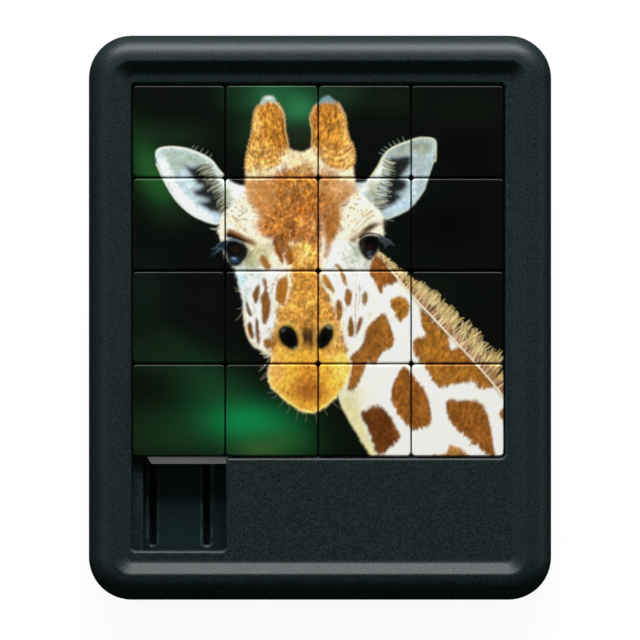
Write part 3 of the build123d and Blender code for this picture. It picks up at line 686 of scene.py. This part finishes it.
paint(shape([(20.4, 45), (19.4, 44.4), (18, 43.8), (16.8, 43), (17.4, 44.4), (18.6, 45.6), (19.8, 46.4)], 0.14),
      "15222e", 0.95)
for k in range(LASHES):
    share = k / (LASHES - 1)
    root = np.array([20.6 - 0.9 * share, 46.2 - 1.6 * share])
    tip = np.array([16.9 + 1.3 * math.sin(3.1 * share), 43.3 + 1.5 * share]) + rng.normal(0, 0.15, 2)
    paint(line([root, (root + tip) / 2 + (0, 0.25), tip], 0.26, 0.06, 0.05),
          ("0c1218", "2c4254", "080c10", "4c687c")[k % 4], 0.85)
for k in range(6):
    root = (18.4 + 0.2 * k, 48.9 + 0.08 * k)
    paint(line([root, (root[0] - 1.7, root[1] + 0.25 - 0.15 * k)], 0.18, 0.05, 0.06), "a3a79b", 0.6)
print("left eye")
paint(shape([(49.2, 48.4), (50.6, 49.6), (52.4, 50.4), (53.6, 50.2), (52.2, 49.4), (50.4, 48.2), (48.6, 46.8), (47, 46),
             (46.8, 46.8), (48.2, 47.6)], 0.22, 0.2), "7c5014")
paint(spot(51.1, 49.3, 3.8, 1.4, 28), "2c1a0a", 0.9)
for points, width, colour in [
    ([(51.6, 52.9), (50, 51.8), (48.6, 50.4), (47.6, 48.8), (46.8, 47)], 0.45, "946424"),
    ([(52, 52), (50.2, 50.8), (48.8, 49.4), (47.6, 47.6)], 0.34, "7f5722"),
    ([(50.6, 53.2), (49, 52), (47.8, 50.4)], 0.24, "b79a6c"),
    ([(46.6, 46), (47.6, 45), (48.4, 43.6)], 0.24, "8d8c70"),
]:
    paint(line(points, width, 0.1, 0.14), colour, 0.7)
paint(spot(53, 51.4, 1.8, 2.6, 20), "f3efe2", 0.6)
washes([
    ([(48.6, 46.2), (49.6, 47.4), (51.2, 47.8), (52.8, 47.6), (54.2, 47), (53.4, 46), (53, 44.6), (52, 43), (51, 42.2),
      (49.8, 43), (49, 44.4)], 0.14, "121312", 1),
    ([(50, 46.8), (51.6, 47.4), (53, 46.8), (53, 45.4), (51.9, 44.5), (50.5, 44.9), (49.9, 45.8)], 0.14, "030304", 1),
])
dabs([
    (51.2, 45.2, 1.3, 1.0, "2a1610", 0.6), (51, 43.9, 1.0, 0.7, "3c5364", 0.8), (51.2, 43.1, 0.8, 0.4, "88949a", 0.6),
    (49.4, 45.2, 0.9, 2, -15, "4a4236", 0.4),
])
paint(line([(49, 47.2), (50, 47.9), (51.6, 48.1), (53.4, 47.6), (54.8, 46.5)], 0.5, 0.3, 0.08), "0c1016")
for k in range(LASHES):
    share = k / (LASHES - 1)
    root = np.array([53.0 + 0.8 * share, 46.9 + 0.4 * share])
    tip = np.array([54.2 + 2.0 * share, 44.6 + 0.9 * share + 0.6 * math.sin(3.1 * share)]) + rng.normal(0, 0.14, 2)
    paint(line([root, (root + tip) / 2 + (0.25, 0.15), tip], 0.26, 0.06, 0.05),
          ("0a0e12", "343c44", "0c1014", "5c6870")[k % 4], 0.85)
print("right eye")

# %% Nostrils and muzzle
MUZZLE = [(31, 23.4), (34, 22), (36.6, 22.8), (39.6, 22.8), (42, 21.8), (44.6, 22.8), (46.6, 21.4), (47.1, 19.2),
          (46.3, 16.4), (44.4, 13.4), (41.8, 10.9), (38.8, 9.5), (36, 10.1), (33, 12.1), (30.3, 14.8), (29.4, 16.6),
          (29.4, 19), (30, 21.6)]
muzzle = shape(MUZZLE, 0.12, 0.12)
before = canvas.copy()
washes([
    (MUZZLE, 0.4, "dba338", 1),
    ([(29.4, 17), (29.8, 20.6), (31.6, 22), (33, 19), (31.6, 16)], 0.8, "cf9a56", 0.8),
    ([(43.6, 22.4), (46.6, 21.4), (47, 19.2), (46.2, 16.6), (44, 17)], 0.8, "edc062", 0.85),
    ([(35.6, 24), (37.4, 20), (39.8, 20.4), (40.4, 16), (42.2, 14.2), (40.6, 12), (37, 11.6), (34, 13.6), (35.6, 16.6),
      (35.8, 20)], 0.9, "a8651f", 0.8),
])
dabs([
    (38, 14.2, 6, 4.8, "86481a", 0.8), (34.8, 15, 3.6, 3, "b87a2c", 0.6), (37.6, 11, 6, 1.6, "c28428", 0.6),
])
paint(line([(29.4, 16.6), (30.8, 14.3), (33.4, 12), (36.2, 10.3), (38.8, 9.8), (41.6, 11.1), (44, 13.4), (46, 16.4)],
           0.45, 0.45, 0.12), "edcc4c", 0.75)
fur(muzzle, 0.13, 0.12, 0.24)
keep_inside(shape(HEAD, 0.08, 0.12), before)
DOTS = 150
for x, y in rng.normal((37.2, 16.6), (4.2, 3.4), (DOTS, 2)):
    if math.hypot((x - 38) / 7.6, (y - 16.4) / 5.6) < 1:
        paint(spot(x, y, 0.32), "6a3f12", 0.5)
for rim in ([(31, 27.4), (32.8, 28.9), (35, 28.2), (36.1, 26), (36.2, 23.8), (35, 22.5), (33.2, 23), (31.4, 25)],
            [(40.4, 27.6), (42, 28.9), (43.4, 28.4), (43.9, 26.4), (43, 24), (41.4, 22.9), (40, 23.6), (39.7, 25.6)]):
    paint(shape(rim, 0.3, 0.12), "b48a3c", 0.8)
strokes([
    ([(31, 27.6), (32.8, 28.9), (35.2, 28.2), (36.1, 26.4)], 0.5, 0.3, 0.3, "e0c070", 0.65),
    ([(40.2, 28), (42, 29), (43.5, 28.4), (44, 26.6), (43.4, 24.6)], 0.5, 0.3, 0.3, "e0bc70", 0.65),
    ([(36.2, 25.6), (36, 23.6), (34.8, 22.4), (33, 22.8)], 0.5, 0.3, 0.28, "e6c050", 0.7),
])
NOSTRILS = [
    [(31.6, 27.4), (33, 28.3), (34.6, 27.7), (35.7, 25.8), (35.6, 23.6), (34.3, 23.1), (32.6, 24), (31.5, 25.7)],
    [(39.8, 25.6), (40.7, 27.5), (42.1, 28.4), (43.2, 27.6), (43.2, 25.8), (42, 23.9), (40.5, 23.1), (39.8, 24.1)],
]
for nostril in NOSTRILS:
    paint(shape(nostril, 0.12, 0.06), "0c0a06")
washes([
    ([(33.1, 26.4), (34.4, 26.6), (35.1, 25.2), (34.8, 24), (33.6, 24.2)], 0.2, "020101", 0.97),
    ([(40.3, 25.6), (41.2, 26.6), (42.2, 26.4), (41.8, 25), (40.8, 23.9)], 0.25, "020202", 0.95),
])
dabs([
    (32.5, 27.3, 1.1, 0.6, 40, "5c6464", 0.55), (42.3, 27.9, 1.2, 0.6, -20, "8d9088", 0.6),
    (35.2, 23.4, 0.8, 0.6, "a9a9a0", 0.6),
])
for x, width, height, colour, strength in [(37.8, 2.8, 5, "5c3a18", 0.9), (37.2, 1.3, 4.6, "22140a", 0.9),
                                           (38.5, 1.1, 4.8, "1e1208", 0.9)]:
    paint(spot(x, 25.8, width, height), colour, strength)
dabs([
    (39.2, 25.4, 0.8, 3.4, "b98c44", 0.6), (36.4, 21.8, 1.2, 2.2, "d99c2c", 0.6),
])
print("nostrils and muzzle")

# %% Whiskers
WHISKERS = [  # root, tip
    ((29.6, 21.4), (27.6, 19)), ((29.2, 20.6), (27.2, 18.4)), ((29.8, 20), (27.8, 17)), ((29.6, 18.4), (27.6, 16.6)),
    ((30.4, 22), (28.4, 22.8)), ((29.2, 22.4), (27.2, 23.4)), ((24, 32.6), (22.6, 31.8)), ((24, 32), (22.4, 29.4)),
    ((23.2, 36.2), (22.2, 35.6)), ((23.4, 35.8), (22, 36.4)), ((31.4, 13.8), (30, 12.6)), ((32.6, 12.6), (31.6, 10.8)),
    ((34, 11.4), (33.2, 9.4)), ((35.6, 10.4), (35.2, 8.2)), ((37.4, 9.8), (37.2, 7.6)), ((39.4, 9.7), (39.6, 7.4)),
    ((41, 10.6), (42, 9)), ((43, 12), (44.4, 10.6)), ((31, 14.4), (29.2, 13.8)), ((54.2, 51.4), (56.2, 50.8)),
]
for root, tip in WHISKERS:
    middle = ((root[0] + tip[0]) / 2 + 0.15, (root[1] + tip[1]) / 2 - 0.2)
    paint(line([root, middle, tip], 0.16, 0.05, 0.05), "8e8c70" if root[1] < 15 else "b9b49a", 0.5)
CHIN_HAIRS = 24
for k in range(CHIN_HAIRS):
    share = k / (CHIN_HAIRS - 1)
    root = (29.4 + 0.6 * math.sin(9 * share), 21.8 + 1.6 * share)
    paint(line([root, (root[0] - rng.uniform(0.5, 1.3), root[1] - rng.uniform(0, 0.8))], 0.2, 0.05), "ddd8c4", 0.6)
PRINT_GAIN = (1.2, 1.2, 1.1)  # the film is printed a little brighter and warmer than it is painted
canvas = np.clip(canvas * PRINT_GAIN, 0, 1)
print(f"picture painted, mean colour {canvas.mean((0, 1)).round(3)}")

# %% [markdown]
# ## Tile faces
# Each tile's face is a thin plate of film-covered plastic with softly rounded edges, where the light catches. It
# could keep the CAD plate and an image texture. Colour stored on the mesh itself needs no image, but needs many small
# faces, so one plate is made from a cube, its edges are bevelled, and then it is cut into a fine grid by bisecting it
# many times, which also divides the rounded edges. The other fifteen are copies with their own place and colours.

# %% Helpers for modelling
CORNER_RADIUS = 0.8 * MM
EDGE_RADIUS = 0.4 * MM
CUT_SPACING = 0.152 * MM
CORNER_STEPS = 6
EDGE_STEPS = 5
SMOOTH_BELOW = math.radians(50)


def pick(mesh_edit, elements, test):
    """Selects only the elements of an edit mesh that pass the test."""
    for group in (mesh_edit.verts, mesh_edit.edges, mesh_edit.faces):
        for element in group:
            element.select = False
    for element in elements:
        if test(element):
            element.select = True
    mesh_edit.select_flush_mode()


def place_vertices(mesh, offset):
    """Moves every vertex of a mesh, so that its object can stay at the origin."""
    flat = np.empty(3 * len(mesh.vertices), np.float32)
    mesh.vertices.foreach_get("co", flat)
    points = flat.reshape(-1, 3) + np.array(offset, np.float32)
    mesh.vertices.foreach_set("co", points.ravel())
    mesh.update()
    return points


print(f"corner {CORNER_RADIUS / MM} mm, edge {EDGE_RADIUS / MM} mm, cuts every {CUT_SPACING / MM} mm")

# %% One blank plate
PLATE_SIZE = first_high.x - first_low.x
bpy.ops.mesh.primitive_cube_add(size=1, location=(0, 0, 0), scale=(PLATE_SIZE, PLATE_SIZE, PLATE_THICKNESS))
blank = bpy.context.active_object
blank.name = "blank_plate"
bpy.ops.object.transform_apply(location=True, rotation=True, scale=True)
bpy.ops.object.mode_set(mode="EDIT")
bpy.ops.mesh.select_mode(type="EDGE")
edit = bmesh.from_edit_mesh(blank.data)
pick(edit, edit.edges, lambda e: abs(e.verts[0].co.z - e.verts[1].co.z) > PLATE_THICKNESS / 2)
bpy.ops.mesh.bevel(offset=CORNER_RADIUS, segments=CORNER_STEPS, affect="EDGES")
edit = bmesh.from_edit_mesh(blank.data)
pick(edit, edit.edges, lambda e: min(v.co.z for v in e.verts) > 0.49 * PLATE_THICKNESS and len(e.link_faces) == 2
     and any(abs(f.normal.z) < 0.5 for f in e.link_faces))
bpy.ops.mesh.bevel(offset=EDGE_RADIUS, segments=EDGE_STEPS, affect="EDGES")
bpy.ops.mesh.select_mode(type="FACE")
edit = bmesh.from_edit_mesh(blank.data)
pick(edit, edit.faces, lambda f: f.normal.z < -0.9)
bpy.ops.mesh.delete(type="ONLY_FACE")
print(f"blank plate before it is cut: {len(bmesh.from_edit_mesh(blank.data).faces)} faces")

# %% Cut it into small squares
cut_count = int(PLATE_SIZE / CUT_SPACING)
for k in range(1, cut_count):
    place = (k / cut_count - 0.5) * PLATE_SIZE
    for normal in ((1, 0, 0), (0, 1, 0)):
        bpy.ops.mesh.select_all(action="SELECT")
        bpy.ops.mesh.bisect(plane_co=tuple(place * n for n in normal), plane_no=normal, threshold=1e-7)
bpy.ops.mesh.select_mode(type="EDGE")
edit = bmesh.from_edit_mesh(blank.data)
pick(edit, edit.edges, lambda e: e.is_boundary)
bpy.ops.mesh.edge_face_add()
bpy.ops.mesh.select_all(action="SELECT")
bpy.ops.mesh.normals_make_consistent(inside=False)
bpy.ops.object.mode_set(mode="OBJECT")
bpy.ops.object.shade_smooth_by_angle(angle=SMOOTH_BELOW)
print(f"blank plate: {len(blank.data.polygons)} faces, {cut_count} squares a side")

# %% [markdown]
# Each copy is moved in its mesh, and every vertex takes the colour of the canvas under it, blended from the four
# nearest squares. The film wraps over the rounded edge, so the colour simply carries on down the side.


# %% Print the picture on the plates
def canvas_colour(points):
    """Colour of the picture at each point on the puzzle, with alpha 1."""
    u = np.clip((points[:, 0] - PICTURE_LEFT) / MM / CELL, 0, cells - 1.001)
    v = np.clip((points[:, 1] - PICTURE_FOOT) / MM / CELL, 0, cells - 1.001)
    column, row = u.astype(int), v.astype(int)
    fu, fv = (u - column)[:, None], (v - row)[:, None]
    lower = canvas[row, column] * (1 - fu) + canvas[row, column + 1] * fu
    upper = canvas[row + 1, column] * (1 - fu) + canvas[row + 1, column + 1] * fu
    colour = np.ones((len(points), 4), np.float32)
    colour[:, :3] = lower * (1 - fv) + upper * fv
    return colour


faces = {}
for row, column in tile_names:
    low, high = (Vector(corner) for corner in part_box(f"picture_row{row}_col{column}"))
    mesh = blank.data.copy()
    points = place_vertices(mesh, (low + high) / 2)
    attribute = mesh.color_attributes.new(name="print", type="FLOAT_COLOR", domain="POINT")
    attribute.data.foreach_set("color", canvas_colour(points).ravel())
    face = bpy.data.objects.new(f"printed_face_row{row}_col{column}", mesh)
    bpy.context.scene.collection.objects.link(face)
    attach(face, f"block_row{row}_col{column}")
    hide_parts(f"picture_row{row}_col{column}")
    faces[row, column] = face
bpy.data.objects.remove(blank)
print(f"{len(faces)} printed faces")

# %% [markdown]
# ## Plastics
# All four finishes are one family: moulded plastic with an IOR near 1.5. What tells them apart is colour,
# grain and gloss. `add_node` adds a node with its settings and links, and `set_node` does the same for the shader
# that a new material already has.


# %% Nodes
def set_node(owner, node, settings=None, links=None):
    """Sets a node's inputs (by name or number) and attributes, and links inputs to other nodes' outputs. Its owner is
    the material or world that it belongs to."""
    for name, value in (settings or {}).items():
        if isinstance(name, int) or name in node.inputs:
            node.inputs[name].default_value = value
        else:
            setattr(node, name, value)
    for name, source in (links or {}).items():
        owner.node_tree.links.new(source, node.inputs[name])
    return node


def add_node(material, kind, settings=None, links=None):
    """Adds a node with its settings and links."""
    return set_node(material, material.node_tree.nodes.new(kind), settings, links)


def new_material(name):
    """A material with only its Principled shader and output."""
    material = bpy.data.materials.new(name)
    material.use_nodes = True
    return material, material.node_tree.nodes["Principled BSDF"]


def rgba(hex_colour):
    return (*linear(hex_colour), 1.0)


def per_mm(size):
    """Noise scale that gives features about `size` mm across on coordinates in metres."""
    return 1 / (size * MM)


PLASTIC_IOR = 1.49
STYRENE_IOR = 1.55
print("IOR of the plastics:", PLASTIC_IOR, STYRENE_IOR)

# %% [markdown]
# ### Frame: moulded ABS with a spark-eroded grain
# The frame is near black with a green-blue cast. Its mould was textured by spark erosion, so the surface is covered
# with grains a few tenths of a millimetre wide, which scatter the highlight on the rim and keep it broad. Pits in it
# shade one another, so the gloss is set weaker than that of a smooth face. The cover behind it comes from the same
# plastic and has the same grain.

# %% Frame plastic
GRAIN = 0.34  # mm across
GRAIN_DEPTH = 0.03 * MM
frame_abs, shader = new_material("ABS frame, spark-eroded grain")
coords = add_node(frame_abs, "ShaderNodeTexCoord")
grain = add_node(frame_abs, "ShaderNodeTexNoise", {"Scale": per_mm(GRAIN), "Detail": 3.0, "Roughness": 0.6},
                 {"Vector": coords.outputs["Object"]})
tint = add_node(frame_abs, "ShaderNodeValToRGB", links={"Fac": grain.outputs["Fac"]})
tint.color_ramp.elements[0].position, tint.color_ramp.elements[0].color = 0.35, rgba("0c1516")
tint.color_ramp.elements[1].position, tint.color_ramp.elements[1].color = 0.68, rgba("283839")
bump = add_node(frame_abs, "ShaderNodeBump", {"Strength": 0.7, "Distance": GRAIN_DEPTH},
                {"Height": grain.outputs["Fac"]})
set_node(frame_abs, shader, {"Roughness": 0.42, "IOR": PLASTIC_IOR, "Specular IOR Level": 0.3},
         {"Base Color": tint.outputs["Color"], "Normal": bump.outputs["Normal"]})
print(frame_abs.name)

# %% [markdown]
# ### Sliding floor: smooth ABS
# The tray that the tiles slide on comes from a polished mould. It is a little darker than the frame, because there is
# no grain to scatter light. A paler line is painted on each side of its slots, beside the spring strip between them
# that pushes up. The line is all that lies near one distance from a slot's middle line, and noise makes it uneven.

# %% Tray plastic
BAY_MIDDLE = (first_low.x + first_high.x) / 2
SLOT_SPACING = 11.7 * MM
SLOT_FOOT = -48.7 * MM  # lower end of the slots, in Y
PALE_LINE_REACH = 1.15 * MM  # from a slot's middle line
PATCH_SIZE = 2.5  # mm across
TRAY_BLACK = "182a2c"
tray_abs, shader = new_material("ABS tray, polished mould")
coords = add_node(tray_abs, "ShaderNodeTexCoord")
patchiness = add_node(tray_abs, "ShaderNodeTexNoise", {"Scale": per_mm(PATCH_SIZE), "Detail": 4.0},
                {"Vector": coords.outputs["Object"]})
polish = add_node(tray_abs, "ShaderNodeMapRange", {"To Min": 0.24, "To Max": 0.36}, {"Value": patchiness.outputs["Fac"]})
from_foot = add_node(tray_abs, "ShaderNodeVectorMath", {"operation": "SUBTRACT", 1: (BAY_MIDDLE, SLOT_FOOT, 0)},
                     {0: coords.outputs["Object"]})
place = add_node(tray_abs, "ShaderNodeSeparateXYZ", links={"Vector": from_foot.outputs["Vector"]})
aside = add_node(tray_abs, "ShaderNodeMath", {"operation": "ABSOLUTE"}, {0: place.outputs["X"]})
past_slot = add_node(tray_abs, "ShaderNodeMath", {"operation": "SUBTRACT", 1: SLOT_SPACING / 2},
                     {0: aside.outputs["Value"]})
past_foot = add_node(tray_abs, "ShaderNodeMath", {"operation": "MINIMUM", 1: 0.0}, {0: place.outputs["Y"]})
offset = add_node(tray_abs, "ShaderNodeCombineXYZ", links={"X": past_slot.outputs["Value"],
                                                           "Y": past_foot.outputs["Value"]})
reach = add_node(tray_abs, "ShaderNodeVectorMath", {"operation": "LENGTH"}, {0: offset.outputs["Vector"]})
share = add_node(tray_abs, "ShaderNodeMapRange", {"From Max": 2 * PALE_LINE_REACH}, {"Value": reach.outputs["Value"]})
# The paler line, painted at one distance from each slot's middle line
pale_line = add_node(tray_abs, "ShaderNodeValToRGB", links={"Fac": share.outputs["Result"]})
for position, colour in ((0.35, TRAY_BLACK), (0.5, "4c5a59"), (0.65, TRAY_BLACK)):
    pale_line.color_ramp.elements.new(position).color = rgba(colour)
for end in (0, -1):
    pale_line.color_ramp.elements[end].color = rgba(TRAY_BLACK)
uneven = add_node(tray_abs, "ShaderNodeMapRange", {"From Min": 0.35, "From Max": 0.65}, {"Value": patchiness.outputs["Fac"]})
tone = add_node(tray_abs, "ShaderNodeMixRGB", {"Color1": rgba(TRAY_BLACK)},
                {"Fac": uneven.outputs["Result"], "Color2": pale_line.outputs["Color"]})
set_node(tray_abs, shader, {"IOR": PLASTIC_IOR},
         {"Base Color": tone.outputs["Color"], "Roughness": polish.outputs["Result"]})
print(tray_abs.name)

# %% [markdown]
# ### Tile bodies: grey styrene
# Plain grey, slightly waxy plastic with faint flow marks. It shows only on the tongue that stands out into the bay, and
# there it is painted paler than the plastic as painted light, against the shade of the tile above. All the rest, in the
# gaps between tiles, is painted near black as painted shade.

# %% Tile plastic
FLOW_MARK = 1.8  # mm across
tile_styrene, shader = new_material("Polystyrene tile, painted gap shade and tongue light")
coords = add_node(tile_styrene, "ShaderNodeTexCoord")
flow = add_node(tile_styrene, "ShaderNodeTexNoise", {"Scale": per_mm(FLOW_MARK), "Detail": 3.0},
                {"Vector": coords.outputs["Object"]})
# The plastic's grey, painted paler as painted light for the tongue in the bay
pale = add_node(tile_styrene, "ShaderNodeValToRGB", links={"Fac": flow.outputs["Fac"]})
pale.color_ramp.elements[0].position, pale.color_ramp.elements[0].color = 0.3, rgba("e2e0de")
pale.color_ramp.elements[1].position, pale.color_ramp.elements[1].color = 0.7, rgba("eeecea")
place = add_node(tile_styrene, "ShaderNodeSeparateXYZ", links={"Vector": coords.outputs["Object"]})
in_bay = add_node(tile_styrene, "ShaderNodeMapRange", {"From Min": PICTURE_FOOT,
                                                       "From Max": PICTURE_FOOT - TILE_GAP / 2},
                  {"Value": place.outputs["Y"]})
# Everywhere above the bay the body is painted near black (1c1c1c) as painted shade in the gaps between tiles
gap_shade_and_lit_tongue = add_node(tile_styrene, "ShaderNodeMixRGB", {"Color1": rgba("1c1c1c")},
                 {"Fac": in_bay.outputs["Result"], "Color2": pale.outputs["Color"]})
set_node(tile_styrene, shader, {"Roughness": 0.45, "IOR": STYRENE_IOR}, {"Base Color": gap_shade_and_lit_tongue.outputs["Color"]})
print(tile_styrene.name)

# %% [markdown]
# ### Printed faces: satin film
# The print is laminated to the plate. The clear skin gives each rounded edge a soft line of light on the side that
# faces the lamp, and leaves the blacks black. It is a satin film, a little rough, with a weaker gloss than bare
# plastic and a faint orange peel about a millimetre across, so the lamp's mirror image in it is wide and dim.

# %% Printed film
ORANGE_PEEL = 0.9  # mm across
film, shader = new_material("Laminated print on styrene")
print_colour = add_node(film, "ShaderNodeAttribute", {"attribute_name": "print"})
coords = add_node(film, "ShaderNodeTexCoord")
orange_peel = add_node(film, "ShaderNodeTexNoise", {"Scale": per_mm(ORANGE_PEEL), "Detail": 2.0},
                       {"Vector": coords.outputs["Object"]})
bump = add_node(film, "ShaderNodeBump", {"Strength": 0.12, "Distance": 0.02 * MM},
                {"Height": orange_peel.outputs["Fac"]})
set_node(film, shader, {"Roughness": 0.34, "IOR": PLASTIC_IOR, "Specular IOR Level": 0.25},
         {"Base Color": print_colour.outputs["Color"], "Normal": bump.outputs["Normal"]})
print(film.name)

# %% Finish every piece
finishes = {"front_frame": frame_abs, "back_cover": frame_abs, "slide_tray": tray_abs}
finishes.update({f"tile_row{row}_col{column}": tile_styrene for row, column in tile_names})
for name, material in finishes.items():
    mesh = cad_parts[name].data
    mesh.materials.clear()
    mesh.materials.append(material)
for face in faces.values():
    face.data.materials.append(film)
print(f"{len(finishes) + len(faces)} pieces finished")

# %% [markdown]
# ## Studio
# The puzzle lies on a sheet of opal acrylic that is lit from below, so the sheet is almost white and the shadow on it
# faint. One wide softbox stands low behind the puzzle's top edge, which puts the broad light on the rim and a fine line
# on every tile's upper edge. Two weak ones stand at the left and low at the right. Even room light fills the
# shadows, but neither it nor the sheet is mirrored, as if black cards kept both from the gloss, so the blacks stay
# deep.

# %% Floor
FLOOR_SIZE = 4.0
FLOOR_GAP = 0.2 * MM  # keeps the cover and the floor from sharing a plane
bpy.ops.mesh.primitive_plane_add(size=FLOOR_SIZE, location=(0, 0, cad_low.z - FLOOR_GAP))
floor = bpy.context.active_object
floor.name = "floor"
opal, shader = new_material("Opal acrylic, lit from below")
set_node(opal, shader, {"Base Color": rgba("585858"), "Roughness": 0.9, "Specular IOR Level": 0.0,
                        "Emission Color": rgba("ffffff"), "Emission Strength": 0.94})
floor.data.materials.append(opal)
floor.visible_glossy = False
floor.visible_diffuse = False
print("floor", FLOOR_SIZE, "m")

# %% Lights
LAMP_DISTANCE = 1.2  # m, from the puzzle's middle


def softbox(name, azimuth, elevation, width, height, power):
    """An area light that looks at the puzzle. Azimuth 0 stands beyond its top edge and 90 to its right."""
    a, e = math.radians(azimuth), math.radians(elevation)
    direction = Vector((math.cos(e) * math.sin(a), math.cos(e) * math.cos(a), math.sin(e)))
    bpy.ops.object.light_add(type="AREA", location=LAMP_DISTANCE * direction)
    lamp = bpy.context.active_object
    lamp.name = name
    lamp.data.shape = "RECTANGLE"
    lamp.data.size, lamp.data.size_y, lamp.data.energy = width, height, power
    lamp.rotation_euler = (-lamp.location).to_track_quat("-Z", "Y").to_euler()


softbox("key_softbox", azimuth=1, elevation=24.5, width=1.5, height=0.4, power=30.5)
softbox("left_fill", azimuth=-90, elevation=42, width=0.8, height=0.3, power=0.7)
softbox("right_fill", azimuth=90, elevation=12, width=0.8, height=0.3, power=0.7)
ROOM_LIGHT = 0.13
world = bpy.data.worlds.new("studio")
bpy.context.scene.world = world
world.use_nodes = True
set_node(world, world.node_tree.nodes["Background"], {"Color": rgba("ffffff"), "Strength": ROOM_LIGHT})
world.cycles_visibility.glossy = False
bpy.context.scene.view_settings.view_transform = "Standard"
print("lights and room")

# %% Camera
CAMERA_DISTANCE = 0.70  # above the tiles' faces
FIELD_OF_VIEW = 137.6 * MM  # width seen at the tiles' faces
LOOK_BELOW_CENTRE = 0.5 * MM
bpy.ops.object.camera_add(location=(0, -LOOK_BELOW_CENTRE, PLATE_TOP + CAMERA_DISTANCE), rotation=(0, 0, 0))
camera = bpy.context.active_object
camera.data.lens = camera.data.sensor_width * CAMERA_DISTANCE / FIELD_OF_VIEW
bpy.context.scene.camera = camera
print(f"camera with a {camera.data.lens:.0f} mm lens")
